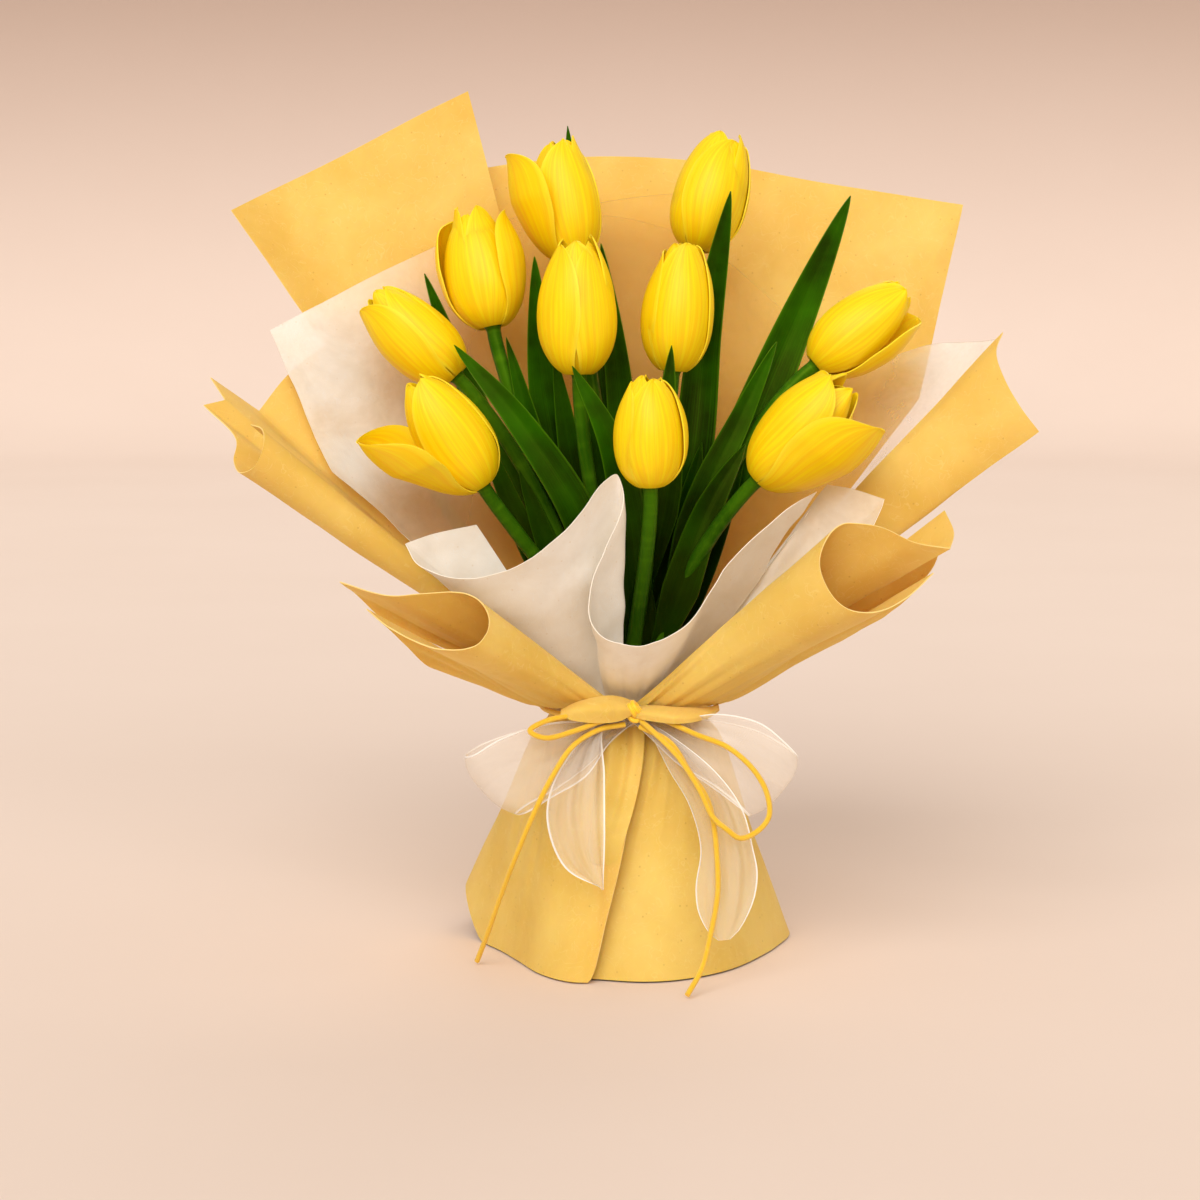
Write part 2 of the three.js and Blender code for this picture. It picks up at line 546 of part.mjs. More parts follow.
// Each loop of the bow: the middle of the ribbon and its half width, from the knot and back to it.
const loopLeft = {
  across: [0.64, 0.1, -0.76],
  run: [
    [1, -38, 117.5, 3], [-11, -43, 112.5, 6], [-30, -53, 104.5, 16], [-48, -59, 97, 18], [-62, -60, 89, 18],
    [-67, -54, 87, 18], [-60, -47, 91, 18], [-46, -43, 97, 17], [-28, -40, 105, 13], [-10, -37.5, 112.5, 5.5],
    [1, -35.5, 117.5, 3],
  ],
};
const loopRight = {
  across: [-0.6, 0.1, -0.8],
  run: [
    [3, -38, 117.5, 3], [14, -43, 112.5, 6], [31, -48, 109, 15], [48, -52, 103, 18], [62, -55, 93, 18],
    [69, -52, 86, 18], [64, -46, 89, 18], [49, -42, 98, 17], [30, -40, 106, 13], [12, -37.5, 112.5, 5.5],
    [3, -35.5, 117.5, 3],
  ],
};

// Each tail of the bow by its two long edges, from the knot down.
const tailLeft = {
  edges: [
    [[-1, -40, 117], [-17, -51, 113], [-34, -61, 92], [-37, -64, 80], [-35, -67, 69], [-28, -69, 56]],
    [[1, -40, 117], [-11, -49, 115], [-11, -57, 95], [-11, -63, 78], [-11, -67, 62], [-12, -71, 45]],
  ],
};
const tailRight = {
  edges: [
    [
      [2, -40, 117], [8, -48, 112], [17, -56, 96], [26, -61, 81], [31, -64, 62], [29, -66, 44],
      [31, -68, 29],
    ],
    [
      [4, -40, 117], [16, -48, 112], [38, -57, 96], [50, -62, 80], [55, -64, 62], [57, -65, 50],
      [52, -66, 33],
    ],
  ],
};

const LOOP_COLUMNS = [-1, 0, 1];
function ribbonLoop({ across, run }) {
  const side = vec(across).normalize();
  return shell(LOOP_COLUMNS.length, run.length, (i, j) => {
    const [x, y, z, half] = run[j];
    return new THREE.Vector3(x, y, z).addScaledVector(side, LOOP_COLUMNS[i] * half);
  }, RIBBON);
}

const TAIL_COLUMNS = 3;
function ribbonTail({ edges }) {
  return shell(TAIL_COLUMNS, edges[0].length, (i, j) => {
    const u = i / (TAIL_COLUMNS - 1);
    const point = vec(edges[0][j]).lerp(vec(edges[1][j]), u);
    point.y -= 2.5 * Math.sin(Math.PI * u) * Math.min(1, j / 2);
    return point;
  }, RIBBON);
}

// The elastic band that holds the stems, under the wrap.
const STEM_BAND = { wide: 15.2, deep: 13.5, thick: 1.1, height: 5 };
function addBand() {
  const { wide, deep, thick, height } = STEM_BAND;
  addPiece('stem_band', ring(wide, deep, thick, height, 12), finishes.band);
}

function addRibbon() {
  addPiece('ribbon_bow', joined([
    ring(bandWide, bandDeep, RIBBON_BAND.thick, RIBBON_BAND.height, 14),
    ellipsoid(KNOT, 10, 6),
    ribbonLoop(loopLeft),
    ribbonLoop(loopRight),
    ribbonTail(tailLeft),
    ribbonTail(tailRight),
  ]), finishes.ribbon);
}

// ---- cord ----

// The cord's knot in front of the ribbon's knot, and the runs of cord that leave it.
const CORD_KNOT = { centre: [1.5, -47, 119], size: [4.6, 3.8, 4.6] };
const cordBand = [
  [4, -46, 120.5], [9, -42.5, 121.1], [14, -39, 120.4], [19, -35.5, 118.7], [23.5, -32.5, 117.2],
  [30, -28, 117],
  [37.5, -16, 117], [40.7, 0, 117], [37.5, 14.4, 117], [28, 24.6, 117], [15, 31, 117], [0, 33.6, 117],
  [-15, 31, 117], [-28, 24.6, 117], [-37.5, 14.4, 117], [-40.7, 0, 117], [-37.5, -16, 117],
  [-30, -28, 117], [-22, -33, 117.2], [-16.5, -36, 118.6], [-11, -39, 120.4], [-6, -42.5, 121.1],
  [-1, -46, 120.5],
];
const cordTailLeft = [
  [-2.4, -49.4, 116], [-14, -54, 114.4], [-25.6, -58, 107.7], [-34.9, -63, 94.5], [-43.5, -63, 77.1],
  [-51.3, -58, 57.6], [-59.5, -46, 34.3], [-66, -35, 14], [-70.4, -27, 1.4],
];
const cordTailRight = [
  [4.4, -48.6, 114.9], [17.8, -56, 109], [26.8, -62, 96.1], [33.8, -65, 86], [36.8, -68, 76],
  [38.8, -71, 56.1],
  [38.8, -73, 43.1], [35.8, -75, 26.2], [31.8, -79, 11.3], [25, -88, 1.4],
];
const cordLoopLeft = [
  [-3.2, -48.2, 122.2], [-12, -51, 122.6], [-22.9, -56, 121.8], [-37.8, -62, 119.6], [-44.7, -64, 115.6],
  [-38, -64, 112.4], [-24, -59, 115], [-13, -54, 118.2], [-3.4, -49.4, 119.2],
];
const cordLoopRight = [
  [6.2, -48.2, 121.4], [16, -51.5, 118], [29.9, -55, 112.3], [43.7, -58, 107.1], [54.7, -61, 97.9],
  [60.8, -64, 87.8], [61.8, -67, 77.6], [56.8, -70, 71.6], [48.8, -73, 68.8], [42.8, -74, 73],
  [36.8, -73.5, 78.2], [30.7, -71, 90.3], [21.8, -65, 103.4], [12, -58, 112.6], [5.2, -50.2, 117.6],
];

function cordRun(points, steps) {
  return rod(new THREE.CatmullRomCurve3(points.map(vec)), CORD_RADIUS, 8, steps);
}

function addCord() {
  addPiece('cord_band', joined([cordRun(cordBand, 34), ellipsoid(CORD_KNOT, 8, 5)]), finishes.cord);
  addPiece('cord_tail_left', cordRun(cordTailLeft, 20), finishes.cord);
  addPiece('cord_tail_right', cordRun(cordTailRight, 20), finishes.cord);
  addPiece('cord_loop_left', cordRun(cordLoopLeft, 14), finishes.cord);
  addPiece('cord_loop_right', cordRun(cordLoopRight, 25), finishes.cord);
}

addWrap();
addTulips();
addBand();
addRibbon();
addCord();

const middleStem = tulips[4].slot;
bouquet.position.set(-middleStem[0] * STEM_FLARE, -middleStem[1] * STEM_FLARE, 0);

export default bouquet;
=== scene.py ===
# %% [markdown]
# # A standing bunch of ten tulips
# The flowers are wrapped in matt yellow paper and white tissue, tied at a waist with an organza
# ribbon and a golden cord. Each plain solid is replaced by a finer piece in the same place.
# Loading leaves the solids selected, so everything is deselected first.

# %% Load the solids
import math
from collections import namedtuple
import bpy
import numpy as np
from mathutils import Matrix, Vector, noise


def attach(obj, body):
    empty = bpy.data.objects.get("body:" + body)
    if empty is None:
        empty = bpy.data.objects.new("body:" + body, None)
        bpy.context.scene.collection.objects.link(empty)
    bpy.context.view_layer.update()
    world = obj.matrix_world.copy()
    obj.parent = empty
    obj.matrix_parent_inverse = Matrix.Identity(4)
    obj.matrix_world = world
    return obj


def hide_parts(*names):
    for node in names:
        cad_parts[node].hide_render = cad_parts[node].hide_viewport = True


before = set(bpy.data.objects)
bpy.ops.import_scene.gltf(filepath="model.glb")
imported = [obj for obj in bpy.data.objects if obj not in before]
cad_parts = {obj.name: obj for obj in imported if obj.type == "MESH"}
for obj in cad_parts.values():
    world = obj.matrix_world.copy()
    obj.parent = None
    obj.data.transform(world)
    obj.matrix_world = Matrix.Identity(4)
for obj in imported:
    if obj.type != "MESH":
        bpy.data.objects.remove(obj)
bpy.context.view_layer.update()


def select_only(*pieces):
    bpy.ops.object.select_all(action="DESELECT")
    for piece in pieces:
        piece.select_set(True)
    if pieces:
        bpy.context.view_layer.objects.active = pieces[0]


def paint(piece, *materials):
    piece.data.materials.clear()
    for material in materials:
        piece.data.materials.append(material)


select_only()

# %% [markdown]
# ## Where things are
# Points are given in millimetres from a line straight down through the middle of the tie: X to the
# right, Y to the back, Z up from the table.

# %% Units and places
MM = 0.001
TIE_LINE = np.array([3.864, 0, 0])
TIE_HEIGHT = 117
NECK_WIDE, NECK_DEEP = 37, 30
GROOVE = 4.5  # from the middle of the tie to the rim of the groove that it lies in
SHOULDER = 9.5  # from the groove down to where the skirt flares


def in_place(points):
    """Millimetres from the line of the tie, as metres in the frame of the solids."""
    return (np.asarray(points, float) + TIE_LINE) * MM


print("the tie is at", in_place([0, 0, TIE_HEIGHT]).round(4), "m")

# %% [markdown]
# ## The camera
# The view is from in front, a little over a metre away, with a long lens.

# %% Camera
CAMERA_PLACE = (-0.009636, -1.3082, 0.3270)
LOOK_DOWN = math.radians(7)

bpy.ops.object.camera_add(location=CAMERA_PLACE, rotation=(math.pi / 2 - LOOK_DOWN, 0, 0))
camera = bpy.context.object
camera.name = "camera"
camera.data.lens, camera.data.sensor_width = 85, 36
camera.data.clip_start, camera.data.clip_end = 0.05, 60
bpy.context.scene.camera = camera
print("camera has a lens of", camera.data.lens, "mm")

# %% [markdown]
# ## Smooth lines
# Everything long follows given points, written as rows of numbers with commas between them.
# The curve through them doesn't overshoot where points crowd together.

# %% A smooth line through points
def table(text):
    return np.array([[float(number) for number in row.split()] for row in text.split(",")])


def smooth_line(points, steps):
    """A curve through points, with so many steps to each span or a list of them."""
    p = np.asarray(points, float)
    steps = [steps] * (len(p) - 1) if isinstance(steps, int) else steps
    q = np.vstack([2 * p[0] - p[1], p, 2 * p[-1] - p[-2]])
    found = []
    for k, count in enumerate(steps):
        a, b, c, d = q[k : k + 4]
        da, db, dc = [max(np.linalg.norm(v) ** 0.5, 1e-4) for v in (b - a, c - b, d - c)]
        out = ((b - a) / da - (c - a) / (da + db) + (c - b) / db) * db
        into = ((c - b) / db - (d - b) / (db + dc) + (d - c) / dc) * db
        for s in np.arange(count) / count:
            found.append(
                b * (2 * s**3 - 3 * s**2 + 1) + c * (3 * s**2 - 2 * s**3)
                + out * (s**3 - 2 * s**2 + s) + into * (s**3 - s**2)
            )
    found.append(p[-1])
    return np.array(found)


def line_length(points):
    return float(np.linalg.norm(np.diff(points, axis=0), axis=1).sum())


print("3 points, 4 steps a span:", len(smooth_line(np.eye(3), 4)), "points")

# %% [markdown]
# ## The cord
# Two tails reach down to the table, and two loops come back to the knot. Each is a round curve,
# and its length is printed.

# %% Cord runs
CORD_THICK = 2.5
CORD_STEPS = 8
CORD_TAIL_LEFT = table("""
-2.4 -49.4 116, -14 -54 114.4, -25.6 -58 107.7, -34.9 -63 94.5, -43.5 -63 77.1, -51.3 -58 57.6,
-59.5 -46 34.3, -66 -35 14, -70.4 -27 1.4
""")
CORD_TAIL_RIGHT = table("""
4.4 -48.6 114.9, 17.8 -56 109, 26.8 -62 96.1, 33.8 -65 86, 36.8 -68 76, 38.8 -71 56.1,
38.8 -73 43.1, 35.8 -75 26.2, 31.8 -79 11.3, 25 -88 1.4
""")
CORD_LOOP_LEFT = table("""
-3.2 -48.2 122.2, -12 -51 122.6, -22.9 -56 121.8, -37.8 -62 119.6, -44.7 -64 115.6, -38 -64 112.4,
-24 -59 115, -13 -54 118.2, -3.4 -49.4 119.2
""")
CORD_LOOP_RIGHT = table("""
6.2 -48.2 121.4, 16 -51.5 118, 29.9 -55 112.3, 43.7 -58 107.1, 54.7 -61 97.9, 60.8 -64 87.8,
61.8 -67 77.6, 56.8 -70 71.6, 48.8 -73 68.8, 42.8 -74 73, 36.8 -73.5 78.2, 30.7 -71 90.3,
21.8 -65 103.4, 12 -58 112.6, 5.2 -50.2 117.6
""")


def round_curve(name, line, depth, radii, detail):
    """A round rod along a line, as a curve of one open spline."""
    data = bpy.data.curves.new(name, "CURVE")
    data.dimensions, data.use_fill_caps = "3D", True
    data.bevel_depth, data.bevel_resolution = depth, detail
    spline = data.splines.new("POLY")
    spline.points.add(len(line) - 1)
    spline.points.foreach_set("co", np.hstack([line, np.ones((len(line), 1))]).ravel())
    spline.points.foreach_set("radius", radii)
    spline.use_smooth = True
    rod = bpy.data.objects.new(name, data)
    bpy.context.scene.collection.objects.link(rod)
    return rod


def cord_curve(name, route):
    line = in_place(smooth_line(route, CORD_STEPS))
    return round_curve(name, line, 1, [CORD_THICK / 2 * MM] * len(line), 4), line


def put_on_body(piece, node=None):
    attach(piece, "root")
    if node:
        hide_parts(node)


cord_runs = []
for run, route, ends_in, lie in (
    ("cord_tail_left", CORD_TAIL_LEFT, "bare", "loose"),
    ("cord_tail_right", CORD_TAIL_RIGHT, "bare", "loose"),
    ("cord_loop_left", CORD_LOOP_LEFT, "object", "loose"),
    ("cord_loop_right", CORD_LOOP_RIGHT, "object", "hanging"),
):
    cord, line = cord_curve("golden_" + run, route)
    put_on_body(cord, run)
    cord_runs.append(cord)
    print(run, "is", round(line_length(line) * 1000), "mm long")

# %% [markdown]
# ## Building materials from nodes
# Each finish is a Principled shader fed by procedural textures. A helper takes outputs of other
# nodes or plain values and gives back its own output. Colours are levels on a screen, from 0 to
# 255.

# %% Helpers for nodes
def screen_colour(*levels):
    linear = [((c / 255 + 0.055) / 1.055) ** 2.4 if c > 10 else c / 255 / 12.92 for c in levels]
    return (*linear, 1)


def feed(socket, value):
    """Joins a socket to an output, or sets it."""
    if isinstance(value, bpy.types.NodeSocket):
        socket.id_data.links.new(value, socket)
    elif socket.type == "RGBA" and len(value) == 3:
        socket.default_value = screen_colour(*value)
    else:
        socket.default_value = value


def feed_all(sockets, values):
    for name, value in values.items():
        feed(sockets[name.replace("_", " ")], value)


def add_node(tree, kind, settings=(), **values):
    node = tree.nodes.new("ShaderNode" + kind)
    for name, value in dict(settings).items():
        setattr(node, name, value)
    feed_all(node.inputs, values)
    return node.outputs


def calculate(operation, first, second=0):
    node = first.id_data.nodes.new("ShaderNodeMath")
    node.operation = operation
    feed(node.inputs[0], first)
    feed(node.inputs[1], second)
    return node.outputs[0]


def multiply(first, second):
    return calculate("MULTIPLY", first, second)


def add(first, second):
    return calculate("ADD", first, second)


def spread(value, low, high, start=0, end=1):
    ends = dict(From_Min=low, From_Max=high, To_Min=start, To_Max=end)
    return add_node(value.id_data, "MapRange", Value=value, **ends)["Result"]


def blend(factor, first, second):
    """A mix of two colours. Sockets 6 and 7 of a mix are its colours."""
    mix = factor.id_data.nodes.new("ShaderNodeMix")
    mix.data_type = "RGBA"
    for socket, value in ((0, factor), (6, first), (7, second)):
        feed(mix.inputs[socket], value)
    return mix.outputs[2]


def tint(colour, mask, share, other):
    """A share of another colour is laid over this one where the mask is high."""
    return blend(multiply(mask, share), colour, other)


def place_on(tree, direction=None):
    place = add_node(tree, "TexCoord")["Object"]
    return add_node(tree, "SeparateXYZ", Vector=place)[direction] if direction else place


def noise_on(tree, size, detail):
    return add_node(tree, "TexNoise", Vector=place_on(tree), Scale=size, Detail=detail)["Fac"]


print("half grey on a screen is", round(screen_colour(128)[0], 3))

# %% Materials and groups
def new_material(name, **values):
    material = bpy.data.materials.new(name)
    material.use_nodes = True
    shader = material.node_tree.nodes["Principled BSDF"].inputs
    feed_all(shader, values)
    return material, material.node_tree, shader


def coat(shader, colour, mottle, smoothest, roughest, relief, strength, depth):
    """Colour, a roughness that follows one field, and a relief that follows another."""
    feed(shader["Base Color"], colour)
    feed(shader["Roughness"], spread(mottle, 0, 1, smoothest, roughest))
    bump = add_node(relief.id_data, "Bump", Height=relief, Strength=strength, Distance=depth * MM)
    feed(shader["Normal"], bump["Normal"])


def new_group(name, **inputs):
    tree = bpy.data.node_groups.new(name, "ShaderNodeTree")
    tree.interface.new_socket("Vector", in_out="INPUT", socket_type="NodeSocketVector")
    for socket, value in inputs.items():
        made = tree.interface.new_socket(socket, in_out="INPUT", socket_type="NodeSocketFloat")
        made.default_value = value
    return tree, tree.nodes.new("NodeGroupInput").outputs


def close_group(tree, **results):
    for name in results:
        tree.interface.new_socket(name, in_out="OUTPUT", socket_type="NodeSocketFloat")
    feed_all(tree.nodes.new("NodeGroupOutput").inputs, results)
    print(tree.name, "has", len(tree.nodes), "nodes")


# %% [markdown]
# ## Fibres
# Paper and tissue have slow clouds, hairs, small specks and a fine tooth. The hairs are the thin
# lines where a slow noise passes its middle value.

# %% The fibre group
fibres, given = new_group("pressed fibres", Cloud=40, Hair=160, Tooth=1600)


def fibre_noise(size, detail, distortion):
    return add_node(
        fibres, "TexNoise", Vector=given["Vector"], Scale=given[size], Detail=detail,
        Roughness=0.6, Distortion=distortion,
    )["Fac"]


off_middle = calculate("ABSOLUTE", calculate("SUBTRACT", fibre_noise("Hair", 1.5, 1.2), 0.5))
hairs = spread(off_middle, 0, 0.012, 1, 0)
cells = add_node(fibres, "TexVoronoi", Vector=given["Vector"], Scale=190)["Distance"]
close_group(
    fibres, Clouds=fibre_noise("Cloud", 4, 0.3), Hairs=hairs,
    Specks=spread(cells, 0.05, 0.11, 1, 0),
    Height=add(fibre_noise("Tooth", 3, 0), multiply(hairs, 0.35)),
)

# %% [markdown]
# ## Paper and tissue
# The paper is matt, and clouded between deeper and paler straw yellow. The tissue behind the
# flowers is thin enough to see through, and the sheet in front is the densest.

# %% Yellow paper
WARM_GLOW = (1, 0.55, 0.1)  # how far red, green and blue light travel inside
CLOUDED = 0.06  # the roughness goes up and down by this


def pressed_sheet(name, colours, sizes, roughness, relief, hairy=0.3, glow=WARM_GLOW, **values):
    deep, pale, hair, speck = colours
    material, tree, shader = new_material(name, Subsurface_Radius=glow, **values)
    sizes = dict(zip(("Cloud", "Hair", "Tooth"), sizes))
    pressed = add_node(tree, "Group", {"node_tree": fibres}, Vector=place_on(tree), **sizes)
    clouded = spread(pressed["Clouds"], 0.32, 0.68)
    colour = tint(blend(clouded, deep, pale), pressed["Hairs"], hairy, hair)
    colour = tint(colour, pressed["Specks"], 0.55, speck)
    coat(
        shader, colour, pressed["Clouds"], roughness - CLOUDED, roughness + CLOUDED,
        pressed["Height"], relief, 0.25,
    )
    return material, shader, clouded, colour


yellow_paper = pressed_sheet(
    "yellow paper", [(225, 185, 86), (238, 202, 110), (244, 220, 148), (198, 154, 70)],
    (22, 120, 1500), 0.66, 0.22, Sheen_Weight=0.04, Specular_IOR_Level=0.2,
    Subsurface_Weight=0.45, Subsurface_Scale=0.0016,
)[0]
paper_edge = pressed_sheet(
    "yellow paper cut edge", [(240, 208, 128), (246, 218, 144), (252, 230, 170), (226, 188, 110)],
    (60, 400, 2500), 0.7, 0.1, Specular_IOR_Level=0.3,
)[0]
print("paper and its edge are made")

# %% White tissue
def tissue(name, thin, dense, fades=None, cloud=(252, 240, 222)):
    """Where the tissue fades to thin, its colour is painted golden and darker: a painted
    show-through of the yellow paper behind it, and painted shade.
    """
    material, shader, clouded, white = pressed_sheet(
        name, [cloud, (255, 250, 240), (255, 254, 250), (240, 222, 196)], (30, 150, 1300),
        0.58, 0.3, hairy=0.5, glow=(1, 0.9, 0.75), Sheen_Weight=0.15, Specular_IOR_Level=0.3,
        Subsurface_Weight=0.3, Subsurface_Scale=0.002,
    )
    density = spread(clouded, 0, 1, thin, dense)
    if fades:
        start, end, change = fades
        changed = spread(place_on(material.node_tree, "X"), start, end, 1, change)
        # The golden colour is painted: it stands for the paper seen through the thin tissue, and
        # for shade on it.
        golden = spread(changed, max(1, change), min(1, change))
        feed(shader["Base Color"], blend(golden, white, (236, 180, 92)))
        density = multiply(density, changed)
    feed(shader["Alpha"], density)
    return material


thin_tissue = tissue("white tissue behind", 0.06, 0.16, fades=(0.1, 0.15, 3))
lit_tissue = tissue("white tissue on the left", 0.5, 0.74, fades=(-0.125, -0.05, 0.2))
side_tissue = tissue("white tissue on the right", 0.48, 0.68)
front_tissue = tissue("white tissue in front", 0.84, 0.95, cloud=(253, 242, 226))
tissue_edge = pressed_sheet(
    "white tissue cut edge", [(250, 242, 228), (255, 250, 240), (255, 255, 250), (240, 228, 210)],
    (60, 300, 2000), 0.6, 0.1,
)[0]
print("the tissue covers from 0.06 behind to 0.95 in front")

# %% [markdown]
# ## Sheets of paper and tissue
# A sheet is drawn as ribs. Each starts at the hem, or just under the tie where the sheet has no
# skirt, passes the groove of the tie, leans out and ends on the upper edge. A flat grid is laid on
# the smooth surface through the ribs, and Solidify gives it its thickness.

# %% Ribs of a sheet
RIB_STEPS = 8  # between two ribs
FLARE = 0.2  # of the skirt, by its shoulder
LEAN_SINKS = 1.2  # where a sheet leans out over the tie
TUCK_IN, TUCK_DOWN = 0.17, 6  # of a sheet's lower edge, against the stems


def on_neck(angle, layer, height):
    a = math.radians(angle)
    return np.array([NECK_WIDE * layer * math.cos(a), NECK_DEEP * layer * math.sin(a), height])


def skirted_rib(angle, layer, lip, *ends):
    low = on_neck(angle, layer, TIE_HEIGHT - GROOVE)
    high = on_neck(angle, layer, TIE_HEIGHT + GROOVE)
    foot, rim = np.reshape(ends, (2, 3))
    drop = min(SHOULDER, 0.6 * (low[2] - foot[2]))
    flare = 1 + FLARE * drop / SHOULDER
    shoulder = low * [flare, flare, 1] - [0, 0, drop]
    over = high * [1 + lip, 1 + lip, 1] - [0, 0, LEAN_SINKS]
    return [foot, (foot + shoulder) / 2, shoulder, low, high, over, (over + rim) / 2, rim]


def tucked_rib(angle, layer, *rim):
    tuck = on_neck(angle, layer - TUCK_IN, TIE_HEIGHT - GROOVE - TUCK_DOWN)
    high = on_neck(angle, layer, TIE_HEIGHT + GROOVE)
    return [tuck, high, high + 0.3 * (rim - high), high + 0.65 * (rim - high), rim]


SKIRTED = skirted_rib, [8, 8, 5, 4, 3, 14, 14]  # and the steps between the rib's points
TUCKED = tucked_rib, [5, 10, 12, 12]


def edge_line(points, corners):
    """Smooth between the corners, and sharp at them."""
    stops = [0, *corners, len(points) - 1]
    parts = [smooth_line(points[a : b + 1], RIB_STEPS) for a, b in zip(stops, stops[1:])]
    return np.vstack([part[:-1] for part in parts[:-1]] + [parts[-1]])


def sheet_surface(lines, kind, corners):
    """Rows of points from the lower to the upper edge, and each column's angle."""
    rib_of, row_steps = kind
    ribs = [rib_of(*line) for line in lines]
    rows = [smooth_line([rib[r] for rib in ribs], RIB_STEPS) for r in range(len(ribs[0]) - 1)]
    rows.append(edge_line([rib[-1] for rib in ribs], corners))
    columns = [smooth_line([row[c] for row in rows], row_steps) for c in range(len(rows[0]))]
    where = np.linspace(0, len(ribs) - 1, len(columns))
    around = np.interp(where, range(len(ribs)), lines[:, 0])
    return np.transpose(np.array(columns), (1, 0, 2)), around


print("a skirted sheet has", sum(SKIRTED[1]) + 1, "rows, a tucked one", sum(TUCKED[1]) + 1)

# %% [markdown]
# ## Gathers and soft dents
# The tie puckers the paper, in pleats that follow the angle round the neck, so that neighbouring
# sheets stay clear of each other. Further out there are slight dents.

# %% Pleats and dents
PLEAT_DEGREES = 11
PLEAT_FADE = (14, 20)  # above the tie, and below it
CALM_BY_TIE, CALM_BY_TABLE = 60, 25  # how far off the dents have their full depth


def sheet_normals(surface):
    out = np.cross(np.gradient(surface, axis=1), np.gradient(surface, axis=0))
    return out / np.maximum(np.linalg.norm(out, axis=2, keepdims=True), 1e-9)


def pleats(surface, around, depth):
    above = surface[:, :, 2] - TIE_HEIGHT
    rise = np.abs(above)
    strength = depth * (0.16 + 0.085 * rise) * np.exp(-rise / np.where(above > 0, *PLEAT_FADE))
    phase = math.pi * around[None, :] / PLEAT_DEGREES
    uneven = 0.65 + 0.35 * np.sin(around[None, :] * 0.093 + 1.1)
    ridge = 2 * np.abs(np.sin(phase + 0.5 * np.sin(phase * 0.31))) - 1
    return strength * uneven * (ridge + 0.3 * np.sin(phase * 3.8))


def dents(surface, size, depth, seed):
    """None at the tie and none at the table."""
    move = np.zeros(surface.shape[:2])
    for place in np.ndindex(*move.shape):
        x, y, z = surface[place]
        p = Vector((x / size + seed * 7.3, y / size, z / size))
        slow, fine = noise.noise(p), noise.noise(p * 2.7 + Vector((5, 3, 1)))
        calm = min(1, abs(z - TIE_HEIGHT) / CALM_BY_TIE) * min(1, z / CALM_BY_TABLE)
        move[place] = depth * calm * (slow + 0.35 * fine)
    return move


print("one pleat every", PLEAT_DEGREES, "degrees round the neck")

# %% A thin piece from its surface
def thin_piece(name, surface, thickness, *materials):
    """A flat grid, laid on a surface and made thick. A second material goes on its rim."""
    rows, columns = surface.shape[:2]
    bpy.ops.mesh.primitive_grid_add(x_subdivisions=columns - 1, y_subdivisions=rows - 1)
    piece = bpy.context.object
    piece.name = piece.data.name = name
    points = in_place(surface.reshape(-1, 3)).astype(np.float32)
    piece.data.vertices.foreach_set("co", points.ravel())
    piece.data.update()
    paint(piece, *materials)
    solidify = piece.modifiers.new("thickness", "SOLIDIFY")
    solidify.thickness, solidify.offset = thickness * MM, 0
    solidify.material_offset_rim = len(materials) - 1
    bpy.ops.object.modifier_apply(modifier=solidify.name)
    return piece


def smooth_faces(piece, angle):
    select_only(piece)
    bpy.ops.object.shade_smooth_by_angle(angle=math.radians(angle))


def dress(piece, node=None, angle=60):
    smooth_faces(piece, angle)
    put_on_body(piece, node)
    print(piece.name, "has", len(piece.data.polygons), "faces")
    return piece


def wrap_sheet(node, lines, kind, corners, seed, pleat, dent, thickness, slot, *materials):
    surface, around = sheet_surface(lines, kind, corners)
    move = pleats(surface, around, pleat) + dents(surface, *dent, seed)
    surface = surface + sheet_normals(surface) * move[:, :, None]
    surface[:, :, 2] = np.maximum(surface[:, :, 2], thickness / 2)
    dress(thin_piece("wrap_" + node, surface, thickness, *materials), node, 50)


# %% [markdown]
# ## The yellow paper
# Two sheets make the skirt and the scrolls in front, two stand as tall panels behind, and one
# curls at each side. A rib is its angle, its layer, its lean, its hem and its upper end. The ribs
# of the sides have no lean and no hem.

# %% Ribs of the paper
FRONT_LEFT = table("""
150 1 0.2 -66 78 6 -48 28 128, 172 1 0.25 -79 56 20 -62 6 130, 192 1 0.3 -70 16 0 -90 -46 142,
206 1 0.3 -60 -3 0 -104 -70 160, 218 1 0.3 -51 -23 0 -115 -86 173,
230 1 0.28 -42 -44 0 -102 -98 165, 240 1 0.25 -33 -56 0 -82 -104 158,
248 1 0.22 -26 -61 0 -68 -103 159, 255 1 0.18 -19 -62 0 -63 -97 163,
261 0.99 0.12 -11 -59 28 -62 -89 169, 265 0.97 0.09 -3 -53 60 -65 -84 175,
265 0.93 0.06 2 -41 94 -70 -80 178, 258 0.89 0.03 -3 -29 106 -78 -76 179,
249 0.88 0.02 -11 -27 106 -92 -74 178, 236 0.88 0.02 -18 -22 106 -108 -72 177,
222 0.88 0.02 -24 -17 106 -128 -70 183, 215 0.88 0.02 -27 -13 106 -122 -58 176,
208 0.88 0.02 -29 -9 106 -110 -52 163
""")
